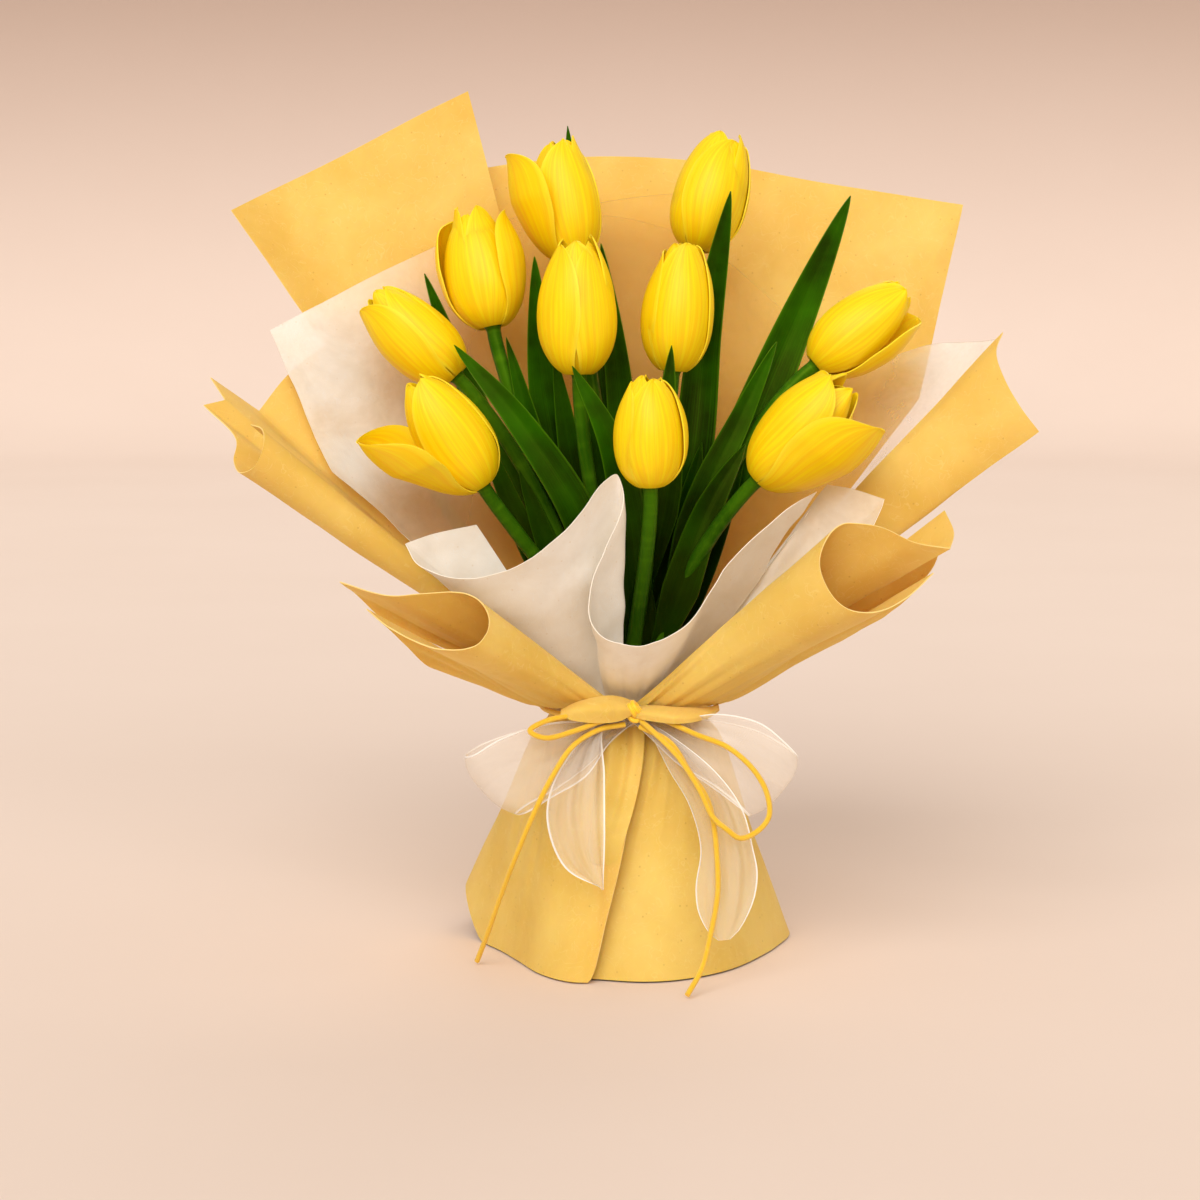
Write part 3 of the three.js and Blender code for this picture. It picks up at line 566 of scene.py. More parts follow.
FRONT_RIGHT = table("""
388 0.95 0.2 68 66 6 48 24 128, 368 0.95 0.25 78 34 0 62 2 130, 348 0.95 0.3 71 8 0 106 -46 160,
334 0.95 0.3 60 -16 0 119 -64 172, 322 0.95 0.3 47 -37 0 132 -80 188,
310 0.95 0.28 32 -51 0 118 -92 178, 300 0.95 0.25 16 -59 0 104 -98 173,
292 0.95 0.22 2 -60 0 92 -100 175, 286 0.95 0.18 -10 -57 0 85 -98 182,
279 0.945 0.14 -21 -54 0 81 -92 194, 272 0.93 0.1 -30 -47 0 86 -86 206,
268.5 0.885 0.07 -20 -39 45 92 -83 210, 270 0.88 0.04 -9 -34 88 98 -81 210,
287 0.87 0.02 6 -27 106 109 -79 208, 299 0.87 0.02 16 -23 106 124 -77 201,
312 0.87 0.02 21 -19 106 140 -72 198, 324 0.87 0.02 26 -15 106 143 -60 204,
336 0.87 0.02 29 -11 106 141 -44 212, 343 0.87 0.02 30 -8 106 137 -40 187,
350 0.87 0.02 31 -4 106 121 -42 170
""")
BACK_LEFT = table("""
166 0.73 0.02 -62 40 4 -190 61 347, 158 0.75 0.02 -68 58 2 -175 83 356,
146 0.8 0.02 -60 74 0 -152 98 368, 130 0.85 0.03 -40 84 0 -126 98 381,
112 0.87 0.02 -14 88 0 -101 97 394, 94 0.86 0.02 14 87 0 -78 95 405
""")
BACK_RIGHT = table("""
112 0.95 0.2 -24 92 0 -82 104 366, 100 0.95 0.2 -4 94 0 -52 110 371,
86 0.95 0.2 20 91 0 -10 114 374, 70 0.93 0.16 42 82 0 42 114 371, 52 0.88 0.08 58 70 0 96 108 361,
34 0.83 0.04 66 56 2 165 98 350, 20 0.8 0.02 68 42 3 155 88 309, 8 0.78 0.02 66 28 4 142 74 256
""")
SIDE_LEFT = table("""
168 0.68 -138 52 288, 173 0.68 -161 40 270, 178 0.68 -174 27 253, 182 0.68 -195 15 269,
186 0.68 -187 4 259, 190 0.68 -196 -3 257, 194 0.68 -180 -14 242, 197 0.68 -180 -24 233,
200 0.68 -176 -34 228, 203 0.68 -168 -42 232, 206 0.68 -164 -43 241, 209 0.67 -165 -37 248,
212 0.64 -171 -29 250
""")
SIDE_RIGHT = table("""
298 0.68 173 8 290, 309 0.68 169 0 281, 320 0.68 172 -8 269, 331 0.68 179 -14 256,
341 0.68 187 -12 246, 352 0.68 182 12 248, 364 0.68 168 36 252, 376 0.68 152 54 258
""")

# %% Paper sheets
PAPER_THICK = 0.5
PAPER_DENT = (55, 1)  # size and depth

for node, lines, kind, corners, seed, pleat in (
    ("paper_front_left", FRONT_LEFT, SKIRTED, (4, 15), 0, 1.7),
    ("paper_front_right", FRONT_RIGHT, SKIRTED, (4, 15, 17), 1, 1.7),
    ("paper_back_left", BACK_LEFT, SKIRTED, (), 2, 1.7),
    ("paper_back_right", BACK_RIGHT, SKIRTED, (5,), 3, 1.7),
    ("paper_side_left", SIDE_LEFT, TUCKED, (2, 3, 4, 5), 10, 0.8),
    ("paper_side_right", SIDE_RIGHT, TUCKED, (4,), 11, 0.8),
):
    wrap_sheet(node, lines, kind, corners, seed, pleat, PAPER_DENT, PAPER_THICK,
               "yellow_paper", yellow_paper, paper_edge)

# %% [markdown]
# ## The white tissue
# Four sheets line the paper. The one in front doubles forward into a cupped lip over the tie.

# %% Ribs of the tissue
TISSUE_BACK_LEFT = table("""
196 0.6 -138 12 226, 186 0.6 -147 20 241, 172 0.6 -170 40 290, 150 0.6 -138 50 307,
130 0.6 -103 60 325, 108 0.6 -60 70 342, 86 0.6 -14 78 351, 66 0.6 27 85 356
""")
TISSUE_BACK_RIGHT = table("""
118 0.64 -33 90 346, 96 0.64 4 92 342, 72 0.64 38 84 330, 46 0.64 80 68 296, 20 0.64 118 52 277,
0 0.64 146 44 283, 342 0.64 172 20 287
""")
TISSUE_FRONT = table("""
230 0.73 -69 -36 205, 222 0.74 -88 -48 202, 217 0.76 -99 -58 199, 218 0.78 -92 -66 189,
222 0.78 -78 -70 185, 230 0.78 -50 -70 190, 240 0.78 -24 -62 211, 252 0.78 -12 -55 226,
260 0.79 -6 -51 229, 264 0.82 -3 -52 220, 258 0.83 -12 -58 195, 250 0.83 -18 -62 176,
254 0.83 -17 -66 164, 262 0.83 -9 -68 157, 272 0.82 4 -68 154, 283 0.79 20 -62 160,
292 0.78 31 -57 169, 300 0.78 42 -52 186, 309 0.78 66 -45 209, 318 0.78 84 -36 220
""")
TISSUE_RIGHT = table("""
300 0.73 52 -22 168, 306 0.73 74 -23 200, 313 0.73 90 -22 222, 320 0.73 100 -30 221,
327 0.73 114 -41 217, 334 0.73 108 -49 205
""")

# %% Tissue sheets
TISSUE_THICK = 0.3
TISSUE_DENT = (30, 2.2)

for node, lines, corners, seed, finish in (
    ("tissue_back_left", TISSUE_BACK_LEFT, (2,), 20, lit_tissue),
    ("tissue_back_right", TISSUE_BACK_RIGHT, (), 21, thin_tissue),
    ("tissue_front", TISSUE_FRONT, (2,), 22, front_tissue),
    ("tissue_right", TISSUE_RIGHT, (2, 4), 23, side_tissue),
):
    wrap_sheet(node, lines, TUCKED, corners, seed, 0.7, TISSUE_DENT, TISSUE_THICK,
               "white_tissue", finish, tissue_edge)

# %% [markdown]
# ## Folds of paper at the tie
# In front, the lower edges of the scrolls fold forward over the cord, and below the knot the paper
# hangs in deep pleats.

# %% Lips and pleats
# A line of a lip: X, then Y and Z of its back, of its crest and of its free edge.
LIP_LEFT = table("""
-31 -50 122.6 -58 122.6 -59 121.4, -26 -48 125 -59.5 123.6 -59.5 119.6,
-18 -44 127 -58.5 124.6 -58 118.2, -9.5 -39 127.4 -56 124.4 -55.6 117.8,
-3.6 -37 126.4 -53.6 123.8 -53.2 118.6, 1.6 -37 124.4 -51 122.8 -50.6 121.2
""")
LIP_RIGHT = table("""
1.2 -38 121 -50.5 120.6 -50 119.6, 6 -38 122.6 -52.6 121.6 -52.4 118.6,
13 -39 122.8 -54.8 121.2 -54.6 117.9, 20 -39 122.2 -56 120.4 -55.8 117.4,
28 -36 121.4 -53 119.6 -53 117.6, 36 -28 120.4 -42 119.2 -42 118, 41 -18 120 -26 119 -26 118.4
""")
PLEATS_FRONT = table("""
-13 -30.5 117, -13 -32.5 108, -14 -37.5 95, -16 -41.3 80, -18.5 -46 62, -20 -46 52, -8 -34 117,
-8.5 -37.5 108, -9.5 -42.5 95, -12 -45.3 80, -15.5 -48 62, -17 -48 52, -1 -31.2 117, -1.2 -33.6 108,
-2.5 -39 95, -5.5 -44 80, -11 -49.8 62, -13 -50 52, 2.2 -34.2 117, 2.4 -37.5 108, 1 -42.6 95,
-2.2 -46.8 80, -7.5 -51.4 62, -9 -52 52, 6 -32.5 117, 6.6 -36.5 108, 5.5 -42.2 95, 2.5 -47 80,
-3 -52.6 62, -6 -53.5 52
""")
CREASE = 0.35  # how far every second line of a lip sinks between its given ones
FOLD_STEPS = 7


def lip_lines(lip):
    lines = [
        (x, y, z, x, (2 * y + crest) / 3, z + 0.3, x, crest, top, x, *free)
        for x, y, z, crest, top, *free in lip
    ]
    smooth = smooth_line(lines, 2).reshape(-1, 4, 3)
    smooth[1::2, 1:, 1] += CREASE
    return smooth


for name, lines in (
    ("paper_lip_left", lip_lines(LIP_LEFT)), ("paper_lip_right", lip_lines(LIP_RIGHT)),
    ("paper_pleats_front", np.reshape(PLEATS_FRONT, (5, 6, 3))),
):
    along = [smooth_line(line, FOLD_STEPS) for line in lines]
    surface = np.array([smooth_line(points, FOLD_STEPS) for points in zip(*along)])
    fold = thin_piece(name, surface, PAPER_THICK, yellow_paper, paper_edge)
    dress(fold, angle=50)

# %% [markdown]
# ## The tulips: where each one stands
# Each has its place in the bundle, its bloom's base, tip, radius and turn, which petals stand open
# by how many degrees, and its leaves: where each starts on the stem, two points it passes, its tip
# and its half width.

# %% Ten tulips
# Slot, base, tip, radius and turn. Each leaf starts with the number of its tulip.
PLACES = table("""
0 6 -26 38 321 -34 44 379 16 30, 6.9 6 31 38 327 46 46 382 17.5 25,
-6.9 6 -63 16 291 -74 24 347 17.5 100, -10.35 0 -79 4 269 -116 6 308 15.5 60,
-3.45 0 -23 -8 270 -24 -8 333 17.8 55, 3.45 0 20 2 271 25 4 331 16.3 15,
-6.9 -6 -66 -28 221 -98 -36 271 17 30, 0 -6 9 -46 222 8 -50 272 16 20,
10.35 0 85 6 274 128 9 309 15.5 110, 6.9 -6 57 -30 224 100 -42 268 17 60
""")
OPEN = [{4: 16}, {}, {0: 8, 2: 8}, {4: 6}, {}, {}, {4: 30}, {}, {0: 8}, {0: 16, 4: 5}]
LEAVES = table("""
1 0.3 -16 44 250 -24 66 322 -29 66 387 9, 1 0.22 0 18 205 -5 22 270 -13 22 331 8,
2 0.25 28 16 225 36 24 290 47 16 355 10, 3 0.28 -28 14 205 -40 18 265 -44 20 325 9,
4 0.3 -56 21 222 -79 34 272 -96 32 317 7.5, 6 0.35 18 -14 225 17 -20 255 19 -19 285 7,
7 0.25 -20 -20 200 -50 -18 250 -80 -12 285 9, 8 0.25 2 -26 190 -8 -28 240 -26 -27 276 9,
9 0.3 48 12 225 76 22 290 103 22 353 12, 10 0.3 34 -6 215 51 -1 250 68 3 286 8,
10 0.2 22 -20 170 36 -18 210 53 -14 240 9
""")
Tulip = namedtuple("Tulip", "slot base tip radius turn open leaves")
TULIPS = [
    Tulip(row[:2], row[2:5], row[5:8], *row[8:], opened, LEAVES[LEAVES[:, 0] == number, 1:])
    for number, (row, opened) in enumerate(zip(PLACES, OPEN), start=1)
]
print(len(TULIPS), "tulips with", len(LEAVES), "leaves")

# %% [markdown]
# ## The streaked finish of petals and leaves
# A noise that is stretched along a blade's unwrapping gives streaks that bend with it. The same
# group finds the blade's two edges, for pale rims.

# %% The streak group
streaks, given = new_group("streaks along a blade", Count=30, Length=2)
split = add_node(streaks, "SeparateXYZ", Vector=given["Vector"])


def streak_field(many):
    across = multiply(multiply(split["X"], given["Count"]), many)
    along = multiply(split["Y"], given["Length"])
    stretched = add_node(streaks, "CombineXYZ", X=across, Y=along)["Vector"]
    return add_node(streaks, "TexNoise", Vector=stretched, Scale=1, Detail=2)["Fac"]


aside = calculate("ABSOLUTE", calculate("SUBTRACT", split["X"], 0.5))
close_group(
    streaks, Streaks=streak_field(1), Fine=streak_field(3.1), Edge=spread(aside, 0.44, 0.5),
    Along=split["Y"],
)


def streaked(tree, count, length):
    blade = add_node(tree, "UVMap")["UV"]
    return add_node(tree, "Group", {"node_tree": streaks}, Vector=blade, Count=count, Length=length)


# %% [markdown]
# ## Petals and greens
# Petals are a clear yellow with fine streaks, a paler rim and a trace of green at the foot.
# Leaves are deep green with fine veins and a thin pale margin, and stems are fresher.

# %% Petals
petal_yellow, tree, shader = new_material(
    "tulip petal", Subsurface_Weight=0.18, Subsurface_Scale=0.002, Specular_IOR_Level=0.26,
    Subsurface_Radius=(1, 0.56, 0.02),
)
veins = streaked(tree, 26, 1.6)
colour = blend(spread(veins["Streaks"], 0.36, 0.66), (252, 201, 0), (255, 222, 2))
colour = tint(colour, spread(veins["Fine"], 0.5, 0.8), 0.3, (255, 238, 70))
colour = tint(colour, veins["Edge"], 0.55, (255, 238, 60))
colour = blend(spread(veins["Along"], 0, 0.16, 0.6, 0), colour, (232, 200, 20))
coat(shader, colour, veins["Streaks"], 0.36, 0.52, veins["Fine"], 0.35, 0.3)
print("petal finish has", len(tree.nodes), "nodes")

# %% Leaves and stems
DEEP_SHADE = (0.17, 0.26)  # metres above the table: darkest, and not darkened any more


def green_finish(name, dark, light, vein, rim, count, shaded):
    """Darkens towards the tie, as light doesn't reach down between the leaves."""
    material, tree, shader = new_material(
        name, Specular_IOR_Level=0.3, Specular_Tint=(0.7, 1, 0.06, 1),
        Subsurface_Weight=0.06, Subsurface_Scale=0.002,
    )
    veins = streaked(tree, count, 1.1)
    bloom_field = noise_on(tree, 38, 4)
    colour = blend(spread(bloom_field, 0.35, 0.7), dark, light)
    colour = tint(colour, spread(veins["Fine"], 0.5, 0.75), 0.45, vein)
    colour = tint(colour, veins["Edge"], 0.6, rim)
    colour = blend(spread(place_on(tree, "Z"), *DEEP_SHADE, shaded, 0), colour, (1, 12, 0))
    coat(shader, colour, bloom_field, 0.26, 0.44, veins["Fine"], 0.5, 0.3)
    return material


leaf_green = green_finish(
    "tulip leaf", (2, 32, 1), (32, 92, 0), (54, 120, 0), (80, 136, 8), 22, 0.85
)
stem_green = green_finish(
    "tulip stem", (36, 84, 4), (64, 114, 10), (86, 136, 16), (72, 122, 14), 12, 0.4
)
print("two greens are made")

# %% [markdown]
# ## Petals
# Three outer and three inner petals share one cup. One side of a petal lies over its neighbour and
# the other under it. Seeded numbers make each a little different.

# %% One petal
WIDEST, MOUTH = 0.44, 0.56
OUTER_SPREAD, INNER_SPREAD = math.radians(72), math.radians(60)
INNER_INSET = 1.6
PETAL_ACROSS, PETAL_ALONG = 33, 44
PETAL_THICK = 0.6


def cup_width(t):
    below = np.sqrt(np.maximum(1 - np.abs(1 - t / WIDEST) ** 2.2, 0))
    above = 1 - MOUTH * np.clip((t - WIDEST) / (1 - WIDEST), 0, 1) ** 2.1
    return np.where(t < WIDEST, below, above)


def bloom_frame(tulip):
    """Its base and length, and its directions: along, to the front, to the right."""
    length = np.linalg.norm(tulip.tip - tulip.base)
    axis = (tulip.tip - tulip.base) / length
    viewer = np.array([0, -1, 0])
    front = viewer - axis * viewer.dot(axis)
    front /= np.linalg.norm(front)
    return tulip.base, length, axis, front, np.cross(axis, front)


def petal_surface(tulip, order, chance):
    base, length, axis, front, right = bloom_frame(tulip)
    outer = order % 2 == 0
    u = np.linspace(-1, 1, PETAL_ACROSS)[None, :]
    t = 0.03 + 0.97 * (0.5 - 0.5 * np.cos(np.linspace(0, math.pi, PETAL_ALONG)))[:, None]
    taller, turned, leaned, phase, curled, shouldered = chance.uniform(-1, 1, 6)
    grown, upper = np.clip(t / 0.28, 0, 1), np.clip((t - 0.4) / 0.6, 0, 1)
    widens = np.clip(t / 0.5, 0, 1)
    foot = 0.8 + 0.2 * widens**2 * (3 - 2 * widens) if outer else 1
    spread_of = OUTER_SPREAD if outer else INNER_SPREAD
    half_turn = spread_of * foot * np.maximum(1 - t**8, 0.001) ** 0.5
    angle = math.radians(tulip.turn + order * 60 + 5 * turned) - u * half_turn
    free_edge = np.maximum(u, 0) ** 6 + 0.3 * np.maximum(-u, 0) ** 6
    shoulder = np.exp(-(((t - 0.74 - 0.08 * shouldered) / 0.15) ** 2))
    ripple = 0.28 * np.cos(4 * u + 3 * phase) + 0.25 * np.sin(5 * t + 2.5 * u + 5 * phase)
    out = (
        tulip.radius * cup_width(t) - (0 if outer else INNER_INSET) + 0.3 * u * grown
        + (0.15 + 0.35 * shouldered) * free_edge * shoulder
        - 0.35 * np.exp(-((u / 0.35) ** 2)) * upper**1.5 + ripple * grown
        + 1.6 * curled * np.clip((t - 0.84) / 0.16, 0, 1) ** 2
    )
    out = np.maximum(out, 0.5)
    up = length * (0.96 if outer else 0.99) * t * (1 + 0.035 * taller)
    up = up + 0.5 * upper * np.sin(4 * u + 4 * phase)
    lean = np.radians(tulip.open.get(order, 0) + 1.5 * leaned) * np.minimum(1, 0.4 + t)
    out, up = out * np.cos(lean) + up * np.sin(lean), up * np.cos(lean) - out * np.sin(lean) * 0.3
    front_part, right_part = out * np.cos(angle), out * np.sin(angle)
    return (
        base + up[:, :, None] * axis + front_part[:, :, None] * front
        + right_part[:, :, None] * right
    )


def join_pieces(pieces, name):
    select_only(*pieces)
    if len(pieces) > 1:
        bpy.ops.object.join()
    whole = bpy.context.object
    whole.name = whole.data.name = name
    return whole


for number, tulip in enumerate(TULIPS, start=1):
    chance = np.random.default_rng(100 + number)
    surfaces = [petal_surface(tulip, order, chance) for order in range(6)]
    petals = [thin_piece("petal", surface, PETAL_THICK, petal_yellow) for surface in surfaces]
    bloom = join_pieces(petals, f"bloom_{number:02d}")
    dress(bloom, f"tulip_{number:02d}_bloom", 70)

# %% [markdown]
# ## Stems and leaves
# A stem runs from its level cut end through the tie in one easy bend to its bloom. A leaf is
# folded into a shallow trough and wavy at the margins.

# %% Stems
STEM_RADIUS = 3.3
STEM_FLARE = 1.12  # how much further apart stems stand at the table
STEM_STEPS = 6
CUT_END = 1  # anything lower is cut level with the table


def bend_of_stem(tulip, t):
    """A point on the stem, at t from the tie 0 to the bloom 1."""
    slot, top = tulip.slot, tulip.base
    foot = np.array([*slot, TIE_HEIGHT])
    axis = bloom_frame(tulip)[2]
    reach = np.linalg.norm(top - foot)
    first = foot + [slot[0] * 0.5, slot[1] * 0.5, reach * 0.3]
    second = top - axis * reach * 0.3
    r = 1 - t
    return r**3 * foot + 3 * r**2 * t * first + 3 * r * t**2 * second + t**3 * top


def as_mesh(curve, material):
    select_only(curve)
    bpy.ops.object.convert(target="MESH")
    mesh = bpy.context.object
    paint(mesh, material)
    return mesh


def make_stem(tulip):
    base, _, axis, _, _ = bloom_frame(tulip)
    route = []
    for part in (0, 0.55, 0.88):
        apart = STEM_FLARE + (1 - STEM_FLARE) * part
        route.append([*(tulip.slot * apart), TIE_HEIGHT * part])
    route += [bend_of_stem(tulip, t) for t in (0, 0.2, 0.4, 0.6, 0.8)]
    route += [base - 6 * axis, base + 2 * axis]
    line = in_place(smooth_line(route, STEM_STEPS))
    up = np.linspace(0, 1, len(line))
    thick = 1 + 0.1 * (1 - up) + 0.35 * np.clip((up - 0.975) / 0.025, 0, 1)
    stem = as_mesh(round_curve("stem", line, STEM_RADIUS * MM, thick, 5), stem_green)
    for vertex in stem.data.vertices:
        if vertex.co.z < CUT_END * MM:
            vertex.co.z = 0
    return stem


print("stems are", round(STEM_RADIUS * 2, 1), "mm thick")

# %% Leaves
LEAF_ACROSS, LEAF_ALONG = 11, 56
LEAF_STEPS = 20
LEAF_THICK = 0.7


def evenly_along(points, count):
    apart = np.linalg.norm(np.diff(points, axis=0), axis=1)
    reached = np.concatenate([[0], np.cumsum(apart)]) / apart.sum()
    where = np.linspace(0, 1, count)
    even = np.stack([np.interp(where, reached, points[:, k]) for k in range(3)], axis=1)
    heading = np.gradient(even, axis=0)
    return where, even, heading / np.linalg.norm(heading, axis=1, keepdims=True)


def make_leaf(route, width, phase):
    s, middle, heading = evenly_along(smooth_line(route, LEAF_STEPS), LEAF_ALONG)
    across = np.cross(heading, [0, -1, 0.15])
    across /= np.linalg.norm(across, axis=1, keepdims=True)
    face = np.cross(across, heading)
    half = width * np.minimum(1, 0.25 + 2.2 * s) * np.maximum(1 - s**2.6, 0.003) ** 0.75
    half, s = half[:, None], s[:, None]
    u = np.linspace(-1, 1, LEAF_ACROSS)[None, :]
    trough = 0.38 * half * (np.sqrt(u**2 + 0.03) - 0.17)
    wave = 0.09 * half * u * np.abs(u) * np.sin(9 * s + phase + 1.5 * np.sign(u))
    surface = (
        middle[:, None, :] + (u * half)[:, :, None] * across[:, None, :]
        + (trough + wave)[:, :, None] * face[:, None, :]
    )
    return thin_piece("leaf", surface, LEAF_THICK, leaf_green)


for number, tulip in enumerate(TULIPS, start=1):
    parts = [make_stem(tulip)]
    for count, (start, *points, width) in enumerate(tulip.leaves):
        route = [bend_of_stem(tulip, start), *np.reshape(points, (3, 3))]
        parts.append(make_leaf(route, width, number + 2.1 * count))
    green = join_pieces(parts, f"stem_and_leaves_{number:02d}")
    dress(green, f"tulip_{number:02d}_stem")

# %% Leaves deep in the bunch, by foot, middle, tip and half width
INNER_LEAVES = table("""
-8 2 128 -34 6 205 -57 9 288 7.5, -5 6 128 -22 9 205 -35 11 281 8, -3 9 128 -10 12 195 -18 13 261 8,
0 6 128 -3 9 180 -3 10 233 8, 3 10 128 12 14 195 19 15 260 8, 6 7 128 22 10 185 34 11 239 8,
9 3 128 34 5 180 53 5 231 7, -9 0 128 -45 3 190 -71 5 250 7, 3 -4 128 6 -3 158 5 -2 186 8,
-4 -2 128 -11 0 168 -14 2 203 8, -8 -3 128 -32 -2 178 -51 0 228 7, 7 -3 128 20 -1 165 28 0 203 8
""")
leaves = [
    make_leaf(np.reshape(route, (3, 3)), width, 1.3 * k)
    for k, (*route, width) in enumerate(INNER_LEAVES)
]
dress(join_pieces(leaves, "inner_leaves"))

# %% [markdown]
# ## The ribbon bow
# Organza is a sheer, open weave with a denser thread along each edge. A loop turns over and comes
# back, gathered to a narrow root. Each tail hangs between its two long edges.

# %% Organza
organza, tree, shader = new_material("organza", Specular_IOR_Level=0.5, Sheen_Weight=0.3)
blade = add_node(tree, "UVMap")["UV"]
warp, weft = [
    add_node(
        tree, "TexWave", {"bands_direction": direction}, Vector=blade, Scale=count,
        Distortion=0.4, Detail=1,
    )["Fac"]
    for direction, count in (("X", 14), ("Y", 60))
]
weave = calculate("MAXIMUM", warp, weft)
marks = streaked(tree, 5, 3)
selvedge = spread(marks["Edge"], 0.5, 0.8)
colour = blend(weave, (230, 216, 198), (248, 240, 228))
coat(shader, blend(selvedge, colour, (255, 254, 250)), weave, 0.32, 0.46, weave, 0.3, 0.1)
mist = multiply(spread(marks["Streaks"], 0.3, 0.8), 0.12)
cover = add(spread(weave, 0, 1, 0.08, 0.18), mist)
feed(shader["Alpha"], add(cover, multiply(selvedge, 0.6)))
print("organza finish has", len(tree.nodes), "nodes")

# %% Ribbon shapes
RIBBON_THICK = 0.25
RIBBON_WIDTH = 36
RIBBON_STEPS, RIBBON_ACROSS = 8, 24
CORNER_ROUND = 5
TAIL_BELLY = 2.5  # how far a tail bows forward between its edges
PUCKER, PUCKER_ENDS = 0.11, 9  # how deep, and the rows over which it ends

# The loops: each point's place and the half width of the ribbon there.
LOOP_LEFT = table("""
1 -38 117.5 3, -11 -43 112.5 6, -30 -53 104.5 16, -48 -59 97 18, -62 -60 89 18, -67 -54 87 18,
-60 -47 91 18, -46 -43 97 17, -28 -40 105 13, -10 -37.5 112.5 5.5, 1 -35.5 117.5 3
""")
LOOP_RIGHT = table("""
3 -38 117.5 3, 14 -43 112.5 6, 31 -48 109 15, 48 -52 103 18, 62 -55 93 18, 69 -52 86 18,
64 -46 89 18, 49 -42 98 17, 30 -40 106 13, 12 -37.5 112.5 5.5, 3 -35.5 117.5 3
""")
# The tails: a point on the left edge and one on the right.
TAIL_LEFT = table("""
-1 -40 117 1 -40 117, -17 -51 113 -11 -49 115, -34 -61 92 -11 -57 95, -37 -65 75 -11 -63 78,
-29 -69 55 -11 -67 62, -13 -71 46 -12 -71 45
""")
TAIL_RIGHT = table("""
2 -40 117 4 -40 117, 8 -48 112 16 -48 112, 17 -56 96 38 -57 96, 26 -61 81 50 -62 80,
31 -64 62 55 -64 62, 29 -66 44 57 -65 50, 32 -69 21 52 -68 23
""")


def ribbon_sheet(name, surface, narrow, phase):
    """Has lengthwise folds where it is narrower than its cut width."""
    u = np.linspace(-1, 1, surface.shape[1])[None, :]
    deep = PUCKER * np.sqrt(np.maximum(RIBBON_WIDTH**2 / 4 - narrow[:, None] ** 2, 0))
    deep = deep * np.clip(np.arange(len(narrow))[::-1, None] / PUCKER_ENDS, 0, 1)
    folds = np.sin(7.5 * u + phase) + 0.45 * np.sin(15 * u + 2 * phase)
    surface = surface + sheet_normals(surface) * (deep * folds)[:, :, None]
    ribbon = thin_piece(name, surface, RIBBON_THICK, organza)
    dress(ribbon, "ribbon_bow")


def loop_surface(across, middle):
    """The two corners at the turn are rounded back towards the knot."""
    side = np.array(across, float) / np.linalg.norm(across)
    u = np.linspace(-1, 1, RIBBON_ACROSS + 1)[None, :, None]
    surface = middle[:, None, :3] + u * middle[:, None, 3:] * side
    reach = middle[:, :3] - middle[0, :3]
    far = np.linalg.norm(reach, axis=1)
    outward = reach[far.argmax()] / far.max()
    near_turn = np.clip(far / far.max(), 0, 1) ** 4
    return surface - CORNER_ROUND * near_turn[:, None, None] * np.abs(u) ** 3 * outward


def tail_surface(left, right, rounded):
    u = np.linspace(0, 1, RIBBON_ACROSS + 1)[None, :, None]
    down = np.linspace(0, 1, len(left))[:, None, None]
    end = np.sqrt(1 - np.clip((down - 1 + rounded) / max(rounded, 1e-6), 0, 1) ** 2 * 0.94)
    u = 0.5 + (u - 0.5) * end
    surface = left[:, None, :] * (1 - u) + right[:, None, :] * u
    points_passed = np.arange(len(left))[:, None] / RIBBON_STEPS
    bow = np.sin(np.pi * u[:, :, 0]) * np.minimum(1, points_passed / 2)
    surface[:, :, 1] -= TAIL_BELLY * bow
    return surface


for name, across, run, phase in (
    ("ribbon_loop_left", (0.64, 0.1, -0.76), LOOP_LEFT, 0.4),
    ("ribbon_loop_right", (-0.6, 0.1, -0.8), LOOP_RIGHT, 1.9),
):
    middle = smooth_line(run, RIBBON_STEPS)
    surface = loop_surface(across, middle)
    ribbon_sheet(name, surface, middle[:, 3], phase)
for name, edges, phase, rounded, cut in (
    ("ribbon_tail_left", TAIL_LEFT, 0.8, 0, 0.66),
    ("ribbon_tail_right", TAIL_RIGHT, 2.6, 0.12, 0.85),
):
    left, right = [smooth_line(edge, RIBBON_STEPS) for edge in (edges[:, :3], edges[:, 3:])]
    narrow = np.linalg.norm(left - right, axis=1) / 2
    length = (line_length(left) + line_length(right)) / 2
    ribbon_sheet(name, tail_surface(left, right, rounded), narrow, phase)

# %% [markdown]
# ## The ribbon's band and knot
# Round the neck the ribbon is bunched to a narrow band. In front it is pulled into a small knot, a
# sphere drawn into folds.

# %% Band and knot of the ribbon
BAND_HEIGHT, BAND_THICK = 6, 0.5
turns = np.radians(np.linspace(-90, 270, 121))[None, :]
lift = np.linspace(-1, 1, 15)[:, None]
bulge = 0.9 * (1 - lift**2) + 0.22 * np.sin(9 * lift + 0.6 * np.sin(5 * turns))
band = np.stack([
    (NECK_WIDE + 1 + bulge) * np.cos(turns), (NECK_DEEP + 1 + bulge) * np.sin(turns),
    TIE_HEIGHT + BAND_HEIGHT / 2 * lift + 0 * turns,
], axis=2)
ribbon_band = thin_piece("ribbon_band", band, BAND_THICK, organza)

bpy.ops.mesh.primitive_uv_sphere_add(segments=48, ring_count=28)
ribbon_knot = bpy.context.object
for vertex in ribbon_knot.data.vertices:
    x, y, z = vertex.co
    grow = 1 + (0.07 * math.sin(9 * z + 2.5 * x) + 0.05 * math.sin(7 * x - 4 * z))
    vertex.co = in_place([2 + 5 * x * grow, -37 + 5.4 * y * grow, 118 + 5.3 * z * grow])
ribbon_knot.data.update()
paint(ribbon_knot, organza)
ribbon_tie = join_pieces([ribbon_band, ribbon_knot], "ribbon_band_and_knot")
dress(ribbon_tie, "ribbon_bow", 70)

